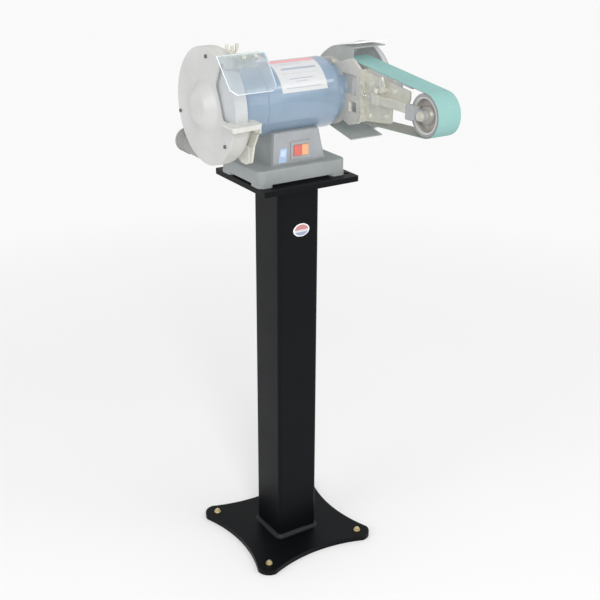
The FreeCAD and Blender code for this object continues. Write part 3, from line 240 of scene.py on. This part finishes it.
def grit(name, color, gap_color, scale, rough=0.86, depth=0.00022, drift=24.0):
    """Abrasive grain; scale sets the grain size, drift the slow patches."""
    g = Shader(name)
    grain = g.voronoi(scale)
    cloud = g.noise(scale=drift, detail=5)
    fine = g.noise(scale=scale * 0.5, detail=3, rough=0.7)
    tone = g.patches(color, gap_color, grain, start=0.1, end=0.75)
    tone = g.patches(tone, shade(gap_color, 0.82), cloud, start=0.35, end=0.75, amount=0.4)
    g.bump(g.plus(grain, g.times(fine, 0.6)), depth)
    return g.surface(color=tone, rough=rough, spec=0.35)


def plastic(name, color, rough, depth=0.00004, scale=1300.0, coat=0.0):
    """Moulded plastic or rubber; scale sets the fine surface grain."""
    g = Shader(name)
    grain = g.noise(scale=scale, detail=3)
    drift = g.noise(scale=40.0)
    tone = g.patches(shade(color, 1.06), shade(color, 0.88), drift, start=0.3, end=0.8)
    g.bump(grain, depth)
    return g.surface(color=tone, rough=g.varied(drift, by=0.15, base=rough - 0.07),
                     coat=coat, coat_rough=0.12)


def clear_sheet():
    """Clear moulded sheet: see-through faces, frosted cut edges with a painted glow on them."""
    sheet_normal = Vector((0.0, -0.739, 0.674)).normalized()
    tint = (0.93, 0.96, 0.98)
    g = Shader("clear_window")
    facing = g.node("VectorMath")
    facing.operation = "DOT_PRODUCT"
    g.put(facing.inputs[0], g.node("NewGeometry").outputs["True Normal"])
    g.put(facing.inputs[1], sheet_normal)
    # a face turned away from the sheet normal is a cut edge
    is_edge = g.math("LESS_THAN", g.math("ABSOLUTE", facing.outputs["Value"]), 0.85)

    haze = g.noise(scale=34.0)
    glass = g.mix_shader(g.node("Fresnel", IOR=1.5).outputs[0],
                         g.node("BsdfTransparent", Color=tint).outputs[0],
                         g.node("BsdfGlossy", Roughness=0.12).outputs[0])
    haze_color = g.ramp(haze, start=0.2, end=0.8,
                        low=(0.62, 0.70, 0.74), high=(0.82, 0.86, 0.88))
    face = g.mix_shader(g.varied(haze, by=0.10, base=0.08), glass,
                        g.node("BsdfDiffuse", Color=haze_color).outputs[0])

    edge = g.principled
    g.put(edge.inputs["Base Color"], (0.90, 0.93, 0.95))
    g.put(edge.inputs["Roughness"], 0.3)
    # the edge emission is a painted glow standing in for light caught in the cut edges
    g.put(edge.inputs["Emission Color"], (0.85, 0.93, 1.0))
    g.put(edge.inputs["Emission Strength"], 0.35)
    g.show(g.mix_shader(is_edge, face, edge.outputs[0]))
    return g.material


def turned_hub():
    """Dull cast hub with a bright turned ring about the contact axle."""
    ring_inner, ring_outer = 0.0303, 0.0336
    g = Shader("contact_hub")
    axis = g.axes()
    radius = g.distance(g.math("POWER", g.math("SUBTRACT", axis[1], CONTACT_Y), 2.0),
                        g.math("POWER", g.math("SUBTRACT", axis[2], CONTACT_Z), 2.0))
    ring = g.between(radius, ring_inner, ring_outer)
    cloud = g.noise(scale=90.0, detail=5)
    turned = g.noise(scale=1.0, vector=g.stretched((900.0, 3.0, 3.0)))
    dull = g.patches((0.38, 0.365, 0.34), (0.27, 0.26, 0.24), cloud, start=0.3, end=0.75)
    g.bump(g.plus(g.times(turned, ring), cloud), depth=0.00005)
    return g.surface(color=g.mix(ring, dull, (0.60, 0.60, 0.59)), metallic=0.5,
                     rough=g.math("SUBTRACT", 0.46, g.times(ring, 0.20)))


# ---------------------------------------------------------------------------
# materials on the CAD pieces
# ---------------------------------------------------------------------------
WELD_BLACK = cast("weld_black", (0.0016, 0.002, 0.0028), rough=0.62, depth=0.0002,
                  coat=0.0, fill=0.0)
BELT_GRIT = grit("belt_grit", (0.268, 0.455, 0.435), (0.213, 0.393, 0.372), scale=2600.0,
                 rough=0.78, depth=0.00018, drift=14.0)

# material, names of the pieces that wear it
FINISHES = [
    (paint("powder_black", (0.0028, 0.0034, 0.0046), peel=1500.0, peel_depth=0.00005,
           grime=0.22, coat=0.0, mottle=9.0, spec=0.12, fill=0.0),
     "floor_plate column_tube top_plate"),
    (WELD_BLACK, "weld_beads"),
    # fill=0.45 is a stronger painted fill glow that lifts the shade inside and under the belt
    # hood
    (paint("hood_paint", (0.255, 0.266, 0.260), rough=0.5, peel_depth=0.00005, grime=0.16,
           coat=0.05, mottle=14.0, fill=0.45),
     "belt_hood"),
    (zinc("anchor_zinc", (0.52, 0.42, 0.22), (0.66, 0.58, 0.38), rough=0.30, metallic=0.7),
     "floor_bolts"),
    (zinc("bolt_zinc", (0.30, 0.30, 0.28), (0.38, 0.37, 0.32), rough=0.34), "machine_bolts"),
    (cast("base_casting_paint", (0.248, 0.268, 0.269), rough=0.48, depth=0.00022),
     "grinder_base"),
    (paint("switch_panel_paint", (0.300, 0.312, 0.330), rough=0.44, peel=800.0,
           peel_depth=0.00004),
     "switch_panel"),
    (plastic("switch_plastic", (0.30, 0.31, 0.32), rough=0.42), "switch_body labels"),
    (paint("motor_blue", (0.195, 0.270, 0.358), rough=0.30, peel=620.0, peel_depth=0.00002,
           grime=0.10, coat=1.0, mottle=14.0, coat_rough=0.10),
     "motor_housing left_end_bell right_end_bell"),
    (paint("guard_paint", (0.480, 0.476, 0.455), peel=520.0, peel_depth=0.00008, grime=0.12,
           coat=0.15, mottle=12.0),
     "wheel_guard"),
    (paint("guard_cover_paint", (0.475, 0.478, 0.470), rough=0.36, peel=520.0,
           peel_depth=0.00007, grime=0.12, coat=0.2, mottle=10.0),
     "guard_cover"),
    (metal("machined_steel", (0.58, 0.58, 0.57), rough=0.30),
     "through_bolts bearing_outer_rings retaining_ring motor_shaft bearing_inner_sets "
     "wheel_flanges platen tension_spring"),
    (metal("dark_screw", (0.16, 0.16, 0.155), rough=0.42), "cover_screws"),
    (metal("core_steel", (0.20, 0.20, 0.20), rough=0.5, brush=(900.0, 30.0, 30.0),
           depth=0.0001),
     "stator_core rotor_core"),
    (metal("winding_copper", (0.50, 0.20, 0.09), rough=0.4, brush=(30.0, 700.0, 700.0),
           depth=0.0002),
     "stator_windings"),
    (zinc("zinc_plate", (0.49, 0.488, 0.435), (0.58, 0.572, 0.50), rough=0.42),
     "tool_rest_bolt shaft_nuts main_bracket tension_arm contact_axle"),
    (zinc("zinc_plate_adapter", (0.49, 0.475, 0.44), (0.57, 0.555, 0.52), rough=0.46,
          metallic=0.35),
     "adapter_plate"),
    (zinc("zinc_bright", (0.55, 0.545, 0.475), (0.68, 0.67, 0.60), rough=0.28, metallic=0.55),
     "shield_bracket bracket_screws tool_rest_arm shield_hinge_strip shield_screws "
     "shield_wing_nut head_bolts tension_lever tracking_knob"),
    (paint("spout_paint", (0.255, 0.258, 0.250), rough=0.5, grime=0.2, coat=0.05,
           mottle=20.0),
     "dust_spout"),
    (metal("deflector_sheet", (0.76, 0.75, 0.76), rough=0.45, brush=(700.0, 6.0, 6.0),
           depth=0.00002, stain=(0.68, 0.67, 0.68), metallic=0.10),
     "top_deflector"),
    (metal("turned_aluminium", (0.47, 0.48, 0.49), rough=0.38, brush=(900.0, 3.0, 3.0),
           metallic=0.30),
     "drive_wheel disc_plate"),
    (cast("cast_aluminium_block", (0.34, 0.355, 0.365), rough=0.5, depth=0.00015,
          metallic=0.15),
     "axle_block"),
    (plastic("tyre_rubber", (0.250, 0.254, 0.252), rough=0.66, depth=0.00012, scale=900.0),
     "contact_tyre"),
    (plastic("cord_rubber", (0.022, 0.022, 0.024), rough=0.5, depth=0.00008, scale=1200.0),
     "power_cord power_plug"),
    (grit("grinding_wheel_grit", (0.58, 0.60, 0.61), (0.48, 0.50, 0.515), scale=1700.0,
          rough=0.9, depth=0.0004),
     "grinding_wheel"),
    (grit("disc_grit", (0.21, 0.105, 0.06), (0.12, 0.06, 0.035), scale=2300.0),
     "abrasive_disc"),
    (BELT_GRIT, "sanding_belt"),
    (plastic("button_red", (0.56, 0.13, 0.115), rough=0.30, depth=0.00002, scale=900.0,
             coat=0.3),
     "stop_button"),
    (plastic("button_amber", (0.72, 0.36, 0.19), rough=0.30, depth=0.00002, scale=900.0,
             coat=0.3),
     "start_button"),
    (paint("rest_paint", (0.520, 0.520, 0.490), mottle=30.0), "tool_rest_table"),
    (metal("spark_plate_steel", (0.66, 0.66, 0.64), rough=0.36, brush=(600.0, 8.0, 8.0)),
     "spark_plate"),
    (clear_sheet(), "shield_window"),
    (turned_hub(), "contact_wheel_hub"),
]
MATERIAL_OF = {piece: material for material, pieces in FINISHES for piece in pieces.split()}

# edge break widths; 0 leaves the edges as they are
BEVEL_DEFAULT = 0.0003
BEVELS = {
    "column_tube": 0.0, "sanding_belt": 0.0, "shield_window": 0.0, "power_cord": 0.0,
    "tension_spring": 0.0, "grinder_base": 0.0007, "floor_plate": 0.0009,
    "top_plate": 0.0009, "belt_hood": 0.0004, "main_bracket": 0.0005,
    "adapter_plate": 0.0006, "wheel_guard": 0.0005, "guard_cover": 0.0006,
    "tool_rest_table": 0.0006, "axle_block": 0.0007, "power_plug": 0.0010,
    "switch_body": 0.0004,
}


def split_edges(ob, degrees):
    ob.modifiers.new("edge_split", "EDGE_SPLIT").split_angle = math.radians(degrees)


def finish_piece(name, ob):
    """Give a CAD piece its material, smooth shading and broken edges."""
    mesh = ob.data
    mesh.materials.clear()
    mesh.materials.append(MATERIAL_OF[name])
    mesh.polygons.foreach_set("use_smooth", [True] * len(mesh.polygons))
    if "sharp_face" in mesh.attributes:
        mesh.attributes.remove(mesh.attributes["sharp_face"])
    width = BEVELS.get(name, BEVEL_DEFAULT)
    if width > 0:
        bevel = ob.modifiers.new("edge_break", "BEVEL")
        bevel.width = width
        bevel.segments = 2
        bevel.limit_method = "ANGLE"
        bevel.angle_limit = math.radians(40)
        bevel.harden_normals = True
        bevel.use_clamp_overlap = True
    split_edges(ob, degrees=38)


for piece_name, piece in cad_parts.items():
    finish_piece(piece_name, piece)


# ---------------------------------------------------------------------------
# meshes built here
# ---------------------------------------------------------------------------
def new_object(name, verts, faces, materials, face_slots=None, uvs=None):
    """Smooth mesh object; face_slots is per face, uvs per vertex."""
    mesh = bpy.data.meshes.new(name)
    mesh.from_pydata([tuple(v) for v in verts], [], faces)
    for material in materials:
        mesh.materials.append(material)
    if face_slots:
        for polygon, slot in zip(mesh.polygons, face_slots):
            polygon.material_index = slot
    if uvs:
        layer = mesh.uv_layers.new(name="UVMap")
        for polygon in mesh.polygons:
            for loop, vertex in zip(polygon.loop_indices, polygon.vertices):
                layer.data[loop].uv = uvs[vertex]
    for polygon in mesh.polygons:
        polygon.use_smooth = True
    mesh.update()
    ob = bpy.data.objects.new(name, mesh)
    scene.collection.objects.link(ob)
    return ob


def fix_to_frame(ob):
    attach(ob, "frame")
    return ob


# ---- sanding belt: closed loop in YZ round the contact wheel, nose and drive wheel
DRIVE_CENTRE, DRIVE_RADIUS = (0.0, SHAFT_Z), 0.05045
CONTACT_CENTRE, CONTACT_RADIUS = (CONTACT_Y, CONTACT_Z), 0.03965
NOSE_RADIUS = 0.008           # small bend at the rear end of the top run
NOSE_Y = -0.044
TOP_RUN_SLOPE = 0.1035        # rise per metre towards +Y
BELT_X0, BELT_X1 = 0.108, 0.1588
BELT_COLUMNS = 14
BELT_THICKNESS = 0.0012
EDGE_WEAR = 0.00022
SPLICE_RISE = 0.00010
SPLICE_STATION = 26           # path station at mid width
SPLICE_SLANT = 9.0            # stations crossed over the belt width
SPLICE_SPREAD = 1.6           # half width of the splice, in stations


def on_circle(centre, radius, angle):
    return (centre[0] + radius * math.cos(angle), centre[1] + radius * math.sin(angle))


def belt_path():
    """Stations on the belt's inner face, as ((y, z), outward normal)."""
    top = math.atan2(1.0, -TOP_RUN_SLOPE)
    tangent = on_circle(CONTACT_CENTRE, CONTACT_RADIUS, top)
    peak = (NOSE_Y, tangent[1] + TOP_RUN_SLOPE * (NOSE_Y - tangent[0]))
    nose = on_circle(peak, -NOSE_RADIUS, top)

    # normals of the straight runs, from the centre lines and radius differences
    dy, dz = DRIVE_CENTRE[0] - nose[0], DRIVE_CENTRE[1] - nose[1]
    rear = math.atan2(dz, dy) + math.acos((NOSE_RADIUS - DRIVE_RADIUS) / math.hypot(dy, dz))
    dy, dz = CONTACT_CENTRE[0] - DRIVE_CENTRE[0], CONTACT_CENTRE[1] - DRIVE_CENTRE[1]
    low = math.atan2(dz, dy) + math.acos((DRIVE_RADIUS - CONTACT_RADIUS) / math.hypot(dy, dz))
    stations = []

    def line(centre0, radius0, centre1, radius1, angle, steps):
        start = on_circle(centre0, radius0, angle)
        end = on_circle(centre1, radius1, angle)
        for i in range(steps):
            t = i / steps
            point = tuple(a * (1 - t) + b * t for a, b in zip(start, end))
            stations.append((point, (math.cos(angle), math.sin(angle))))

    def arc(centre, radius, angle0, angle1, steps):
        for i in range(steps):
            angle = angle0 + (angle1 - angle0) * i / steps
            normal = (math.cos(angle), math.sin(angle))
            stations.append((on_circle(centre, radius, angle), normal))

    line(CONTACT_CENTRE, CONTACT_RADIUS, nose, NOSE_RADIUS, top, steps=60)
    arc(nose, NOSE_RADIUS, top, rear, steps=10)
    line(nose, NOSE_RADIUS, DRIVE_CENTRE, DRIVE_RADIUS, rear, steps=12)
    arc(DRIVE_CENTRE, DRIVE_RADIUS, rear, low - 2 * math.pi, steps=48)
    line(DRIVE_CENTRE, DRIVE_RADIUS, CONTACT_CENTRE, CONTACT_RADIUS, low, steps=60)
    arc(CONTACT_CENTRE, CONTACT_RADIUS, low, top, steps=64)
    return stations


def belt_cloth():
    g = Shader("belt_cloth")
    weave = g.node("TexWave", Scale=420.0, Distortion=1.2,
                   Vector=g.coords["Object"]).outputs["Fac"]
    tone = g.mix(weave, (0.34, 0.35, 0.31), (0.27, 0.28, 0.25))
    tone = g.mix(g.times(g.noise(scale=22.0), 0.5), tone, (0.22, 0.22, 0.20))
    g.bump(weave, depth=0.00010)
    return g.surface(color=tone, rough=0.9)


def outer_offset(i, t):
    """Grit face height over the inner face: edges wear thin, a slanted splice is thicker."""
    splice = abs((i - SPLICE_STATION) - SPLICE_SLANT * (t - 0.5))
    return (BELT_THICKNESS - EDGE_WEAR * abs(2 * t - 1) ** 10
            + SPLICE_RISE * math.exp(-(splice / SPLICE_SPREAD) ** 2))


def build_belt():
    path = belt_path()
    count, row = len(path), BELT_COLUMNS + 1
    verts, faces, slots = [], [], []
    for side in (0, 1):             # 0 inner cloth, 1 outer grit
        for i, (point, normal) in enumerate(path):
            for j in range(row):
                t = j / BELT_COLUMNS
                offset = outer_offset(i, t) if side else 0.0
                verts.append((BELT_X0 + (BELT_X1 - BELT_X0) * t,
                              point[0] + normal[0] * offset,
                              point[1] + normal[1] * offset))

    def at(side, i, j):
        return (side * count + i % count) * row + j

    last = BELT_COLUMNS
    for i in range(count):
        for j in range(BELT_COLUMNS):
            faces.append((at(1, i, j), at(1, i, j + 1), at(1, i + 1, j + 1), at(1, i + 1, j)))
            faces.append((at(0, i, j), at(0, i + 1, j), at(0, i + 1, j + 1), at(0, i, j + 1)))
            slots += [0, 1]
        faces.append((at(0, i, 0), at(1, i, 0), at(1, i + 1, 0), at(0, i + 1, 0)))
        faces.append((at(0, i, last), at(0, i + 1, last), at(1, i + 1, last), at(1, i, last)))
        slots += [2, 2]
    # edge faces: darker than the grit face; the belt's real edge, with part of the darkening
    # painted shade along it
    cut_edge = grit("belt_cut_edge", (0.20, 0.34, 0.31), (0.12, 0.20, 0.19), scale=1800.0)
    ob = new_object("belt_loop", verts, faces, [BELT_GRIT, belt_cloth(), cut_edge], slots)
    split_edges(ob, degrees=50)
    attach(ob, "head")
    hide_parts("sanding_belt")


build_belt()

# ---- labels: printed shapes without lettering
LABEL_THICKNESS = 0.0003
RULE_TINT = (0.18, 0.22, 0.34)


def label_material(name, base, rules, header=None, block=None):
    """Printed sheet in UV space.

    rules: (u0, u1, v, half height, darkness); header: (v0, v1, colour);
    block: (u0, u1, v0, v1, colour).
    """
    g = Shader(name)
    uv = g.coords["UV"]
    u, v, _ = g.axes(uv)
    cloud = g.noise(scale=9.0, detail=3, rough=0.5, vector=uv)
    tone = g.mix(cloud, shade(base, 1.03), shade(base, 0.93))
    if header:
        v0, v1, color = header
        tone = g.mix(g.between(v, v0, v1), tone, color)
    for u0, u1, middle, half, darkness in rules:
        mask = g.times(g.between(u, u0, u1), g.between(v, middle - half, middle + half))
        tone = g.mix(g.times(mask, darkness), tone, RULE_TINT)
    if block:
        u0, u1, v0, v1, color = block
        tone = g.mix(g.times(g.between(u, u0, u1), g.between(v, v0, v1)), tone, color)
    g.bump(g.noise(scale=60.0, detail=3, vector=uv), depth=0.00002)
    return g.surface(color=tone, rough=g.varied(cloud, by=0.1, base=0.27),
                     coat=0.3, coat_rough=0.15)


def label_sheet(name, point, normal, columns, rows, material):
    """Thin sheet over point(u, v), thickened along normal(v)."""
    verts, uvs, faces = [], [], []
    for side in (0, 1):
        for j in range(rows + 1):
            for i in range(columns + 1):
                u, v = i / columns, j / rows
                verts.append(Vector(point(u, v)) + Vector(normal(v)) * (LABEL_THICKNESS * side))
                uvs.append((u, v))
    row = columns + 1
    top = row * (rows + 1)          # index of the first vertex on the outer side
    for j in range(rows):
        for i in range(columns):
            a = j * row + i
            faces.append((top + a, top + a + 1, top + a + row + 1, top + a + row))
            faces.append((a, a + row, a + row + 1, a + 1))
    for i in range(columns):
        b = rows * row + i
        faces.append((i, i + 1, top + i + 1, top + i))
        faces.append((b + 1, b, top + b, top + b + 1))
    for j in range(rows):
        a = j * row
        b = a + columns
        faces.append((a + row, a, top + a, top + a + row))
        faces.append((b, b + row, top + b + row, top + b))
    ob = new_object(name, verts, faces, [material], uvs=uvs)
    split_edges(ob, degrees=40)
    return fix_to_frame(ob)


def motor_label():
    """Sheet wrapped round the upper front of the motor housing."""
    radius = 0.06903
    left, width = -0.0485, 0.1005
    bottom, top = math.radians(162.0), math.radians(88.0)

    def normal(v):
        angle = bottom + (top - bottom) * v
        return (0.0, math.cos(angle), math.sin(angle))

    def point(u, v):
        _, y, z = normal(v)
        return (left + width * u, radius * y, SHAFT_Z + radius * z)

    material = label_material(
        "motor_label_print", (0.52, 0.526, 0.536),
        header=(0.80, 0.965, (0.66, 0.30, 0.32)),
        rules=[(0.08, 0.70, 0.73, 0.006, 0.55), (0.08, 0.62, 0.69, 0.006, 0.55),
               (0.14, 0.90, 0.555, 0.030, 0.62), (0.12, 0.90, 0.42, 0.004, 0.45),
               (0.22, 0.74, 0.29, 0.010, 0.60), (0.34, 0.60, 0.225, 0.008, 0.50),
               (0.10, 0.88, 0.09, 0.008, 0.60)])
    return label_sheet("motor_label", point, normal, columns=8, rows=28, material=material)


def panel_label():
    """Flat sheet on the front of the switch panel, narrowing upwards."""
    face_y = -0.05762
    bottom, height = 0.8730, 0.0270
    left, left_shift = -0.0535, 0.004       # side edge at the bottom, and its shift to the top
    right, right_shift = -0.0365, 0.002

    def point(u, v):
        x0 = left + left_shift * v
        x1 = right + right_shift * v
        return (x0 + (x1 - x0) * u, face_y, bottom + height * v)

    material = label_material(
        "panel_label_print", (0.33, 0.45, 0.64),
        rules=[(0.15, 0.85, 0.20, 0.02, 0.25), (0.15, 0.80, 0.32, 0.02, 0.25)],
        block=(0.18, 0.82, 0.45, 0.86, (0.46, 0.56, 0.72)))
    label_sheet("panel_label", point, lambda v: (0, -1, 0), columns=4, rows=6,
                material=material)


def badge_field():
    """Grey field, red above and blue below."""
    red_above, blue_below = 0.7262, 0.7215
    g = Shader("badge_field")
    z = g.axes()[2]
    tone = g.mix(g.math("GREATER_THAN", z, red_above), (0.55, 0.55, 0.57), (0.44, 0.16, 0.17))
    tone = g.mix(g.math("LESS_THAN", z, blue_below), tone, (0.24, 0.27, 0.42))
    specks = g.noise(scale=300.0, detail=3, rough=0.5)
    tone = g.mix(g.times(specks, 0.25), tone, (0.35, 0.34, 0.35))
    return g.surface(color=tone, rough=0.3, coat=0.4)


def column_badge():
    """Small domed oval badge with a pale rim, on the front of the column."""
    centre = Vector((0.0055, -COLUMN_HALF, 0.7254))
    half_width, half_height = 0.0188, 0.0135
    dome, rim_rise = 0.00085, 0.0002
    sectors, rings = 48, 7
    verts, faces, slots = [centre + Vector((0, -dome, 0))], [], []
    for k in range(1, rings + 1):
        r = k / rings
        height = dome * (1 - r ** 4) + (rim_rise if r > 0.8 and k < rings else 0.0)
        for i in range(sectors):
            x, z = on_circle((0, 0), r, 2 * math.pi * i / sectors)
            verts.append(centre + Vector((half_width * x, -height, half_height * z)))
    for i in range(sectors):
        faces.append((0, 1 + i, 1 + (i + 1) % sectors))
        slots.append(1)
    for k in range(rings - 1):
        for i in range(sectors):
            a = 1 + k * sectors + i
            b = 1 + k * sectors + (i + 1) % sectors
            faces.append((a, a + sectors, b + sectors, b))
            slots.append(0 if k >= rings - 2 else 1)
    rim = plastic("badge_rim", (0.80, 0.80, 0.80), rough=0.3, depth=0.00001)
    ob = new_object("column_badge", verts, faces, [rim, badge_field()], slots)
    fix_to_frame(ob)


motor_sheet = motor_label()
panel_label()
column_badge()
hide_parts("labels")

# ---- weld beads: rippled fillets round the column
COLUMN_CORNER = 0.007
WELD_STEPS = 340
WELD_PROFILE = 9              # points across the visible fillet
RIPPLE_PITCH = 0.0042
WELD_ROOT = 0.0004            # depth of the hidden root inside the column face


def column_outline():
    """Stations round the column as (point, outward normal, distance)."""
    flat = 2 * (COLUMN_HALF - COLUMN_CORNER)
    side_length = flat + math.pi * COLUMN_CORNER / 2
    inset = COLUMN_HALF - COLUMN_CORNER
    for i in range(WELD_STEPS):
        s = 4 * side_length * i / WELD_STEPS
        side = int(s // side_length)
        t = s - side * side_length
        if t < flat:
            point = Vector((-inset + t, -COLUMN_HALF, 0))
            normal = Vector((0, -1, 0))
        else:
            a = (t - flat) / COLUMN_CORNER
            normal = Vector((math.sin(a), -math.cos(a), 0))
            point = Vector((inset + COLUMN_CORNER * math.sin(a),
                            -inset - COLUMN_CORNER * math.cos(a), 0))
        turn = Matrix.Rotation(side * math.pi / 2, 3, "Z")
        yield turn @ point, turn @ normal, s


def weld_bead(name, z, up, leg):
    """Fillet with its toe on the plate at z; up is 1 above the plate, -1 below it."""
    last = WELD_PROFILE - 1
    verts, faces = [], []
    for point, normal, s in column_outline():
        ripple = 0.5 + 0.5 * math.sin(s / RIPPLE_PITCH * 2 * math.pi)
        wobble = math.sin(s * 61.0) * 0.00035 + math.sin(s * 137.0 + 1.0) * 0.0002
        for k in range(WELD_PROFILE):
            if k == 0:
                offset, height = leg + wobble, 0.0
            elif k == last:
                offset, height = 0.0, leg
            else:
                a = math.pi / 2 * k / last
                bulge = 1.0 + 0.10 * math.sin(2 * a) * (0.6 + 0.8 * ripple)
                offset = leg * (1 - math.sin(a)) * bulge + wobble
                height = leg * (1 - math.cos(a)) * bulge
            verts.append(point + normal * max(offset, 0.0) + Vector((0, 0, z + up * height)))
        verts.append(point - normal * WELD_ROOT + Vector((0, 0, z)))
    row = WELD_PROFILE + 1
    for i in range(WELD_STEPS):
        here, ahead = i * row, (i + 1) % WELD_STEPS * row
        for k in range(row):
            beside = (k + 1) % row
            face = (here + k, here + beside, ahead + beside, ahead + k)
            faces.append((face[0], *face[:0:-1]) if up > 0 else face)
    return fix_to_frame(new_object(name, verts, faces, [WELD_BLACK]))


floor_bead = weld_bead("weld_bead_floor", z=0.011, up=1, leg=0.0072)
weld_bead("weld_bead_top", z=0.8233, up=-1, leg=0.0062)
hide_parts("weld_beads")


# ---------------------------------------------------------------------------
# floor, world, lights, camera
# ---------------------------------------------------------------------------
def pale_floor():
    """Pale floor that fades to an even glow away from the origin."""
    g = Shader("floor_pale")
    g.surface(color=g.mix(g.noise(scale=1.4, rough=0.5), (0.73, 0.73, 0.73),
                          (0.76, 0.76, 0.76)),
              rough=0.7, spec=0.2)
    axis = g.axes()
    radius = g.distance(g.times(axis[0], axis[0]), g.times(axis[1], axis[1]))
    fade = g.ramp(g.math("DIVIDE", radius, 3.0), start=0.12, end=0.75)
    glow = g.node("Emission", Strength=0.95)
    g.show(g.mix_shader(fade, g.principled.outputs[0], glow.outputs[0]))
    return g.material


FLOOR_Z = -0.0002             # just under the floor plate
floor = new_object("floor_plane",
                   [(-6, -6, FLOOR_Z), (6, -6, FLOOR_Z), (6, 9, FLOOR_Z), (-6, 9, FLOOR_Z)],
                   [(0, 1, 2, 3)], [pale_floor()])


def studio_world():
    """White surround, brighter to the camera than to the machine."""
    world = bpy.data.worlds.new("studio")
    scene.world = world
    world.use_nodes = True
    nodes, links = world.node_tree.nodes, world.node_tree.links
    background = nodes["Background"]
    background.inputs[0].default_value = (1.0, 1.0, 1.0, 1)
    light_path = nodes.new("ShaderNodeLightPath")
    strength = nodes.new("ShaderNodeMapRange")
    strength.inputs["To Min"].default_value = 0.70
    strength.inputs["To Max"].default_value = 0.95
    links.new(light_path.outputs["Is Camera Ray"], strength.inputs["Value"])
    links.new(strength.outputs[0], background.inputs[1])


studio_world()

# name, place, height aimed at on the Z axis, (width, height), watts, colour
LIGHTS = [
    ("key", (-1.2, -2.9, 2.2), 0.95, (0.9, 0.9), 52, (1.0, 0.99, 0.97)),
    ("fill", (-3.0, -0.4, 1.7), 0.9, (1.6, 1.6), 17, (0.96, 0.98, 1.0)),
    ("right", (1.8, -2.4, 1.5), 0.9, (1.4, 1.4), 6, (1.0, 1.0, 1.0)),
    ("top", (0.2, 0.6, 3.0), 0.9, (2.2, 2.2), 5, (1.0, 1.0, 1.0)),
    ("strip", (0.6, -1.5, 2.2), 1.0, (2.6, 0.22), 9, (1.0, 1.0, 1.0)),
]
for name, place, aim_z, size, watts, color in LIGHTS:
    light = bpy.data.lights.new(name, "AREA")
    light.shape = "RECTANGLE"
    light.size, light.size_y = size
    light.energy = watts
    light.color = color
    lamp = bpy.data.objects.new(name, light)
    lamp.location = place
    aim = Vector((0, 0, aim_z)) - Vector(place)
    lamp.rotation_euler = aim.to_track_quat("-Z", "Y").to_euler()
    scene.collection.objects.link(lamp)


def add_camera():
    azimuth, elevation, roll = (math.radians(a) for a in (-32.7186, 22.9667, 0.3175))
    data = bpy.data.cameras.new("cam")
    camera = bpy.data.objects.new("cam", data)
    scene.collection.objects.link(camera)
    back = Vector((math.sin(azimuth) * math.cos(elevation),
                   -math.cos(azimuth) * math.cos(elevation), math.sin(elevation)))
    right = Vector((math.cos(azimuth), math.sin(azimuth), 0.0))
    up = back.cross(right)
    rolled_right = right * math.cos(roll) + up * math.sin(roll)
    rolled_up = -right * math.sin(roll) + up * math.cos(roll)
    turn = Matrix((rolled_right, rolled_up, back)).transposed().to_4x4()
    camera.matrix_world = Matrix.Translation((-1.09856, -1.76261, 1.43814)) @ turn
    data.sensor_width = 36.0
    data.lens = 64.907
    data.clip_start = 0.05
    data.clip_end = 40
    scene.camera = camera


add_camera()
scene.view_settings.view_transform = "Standard"
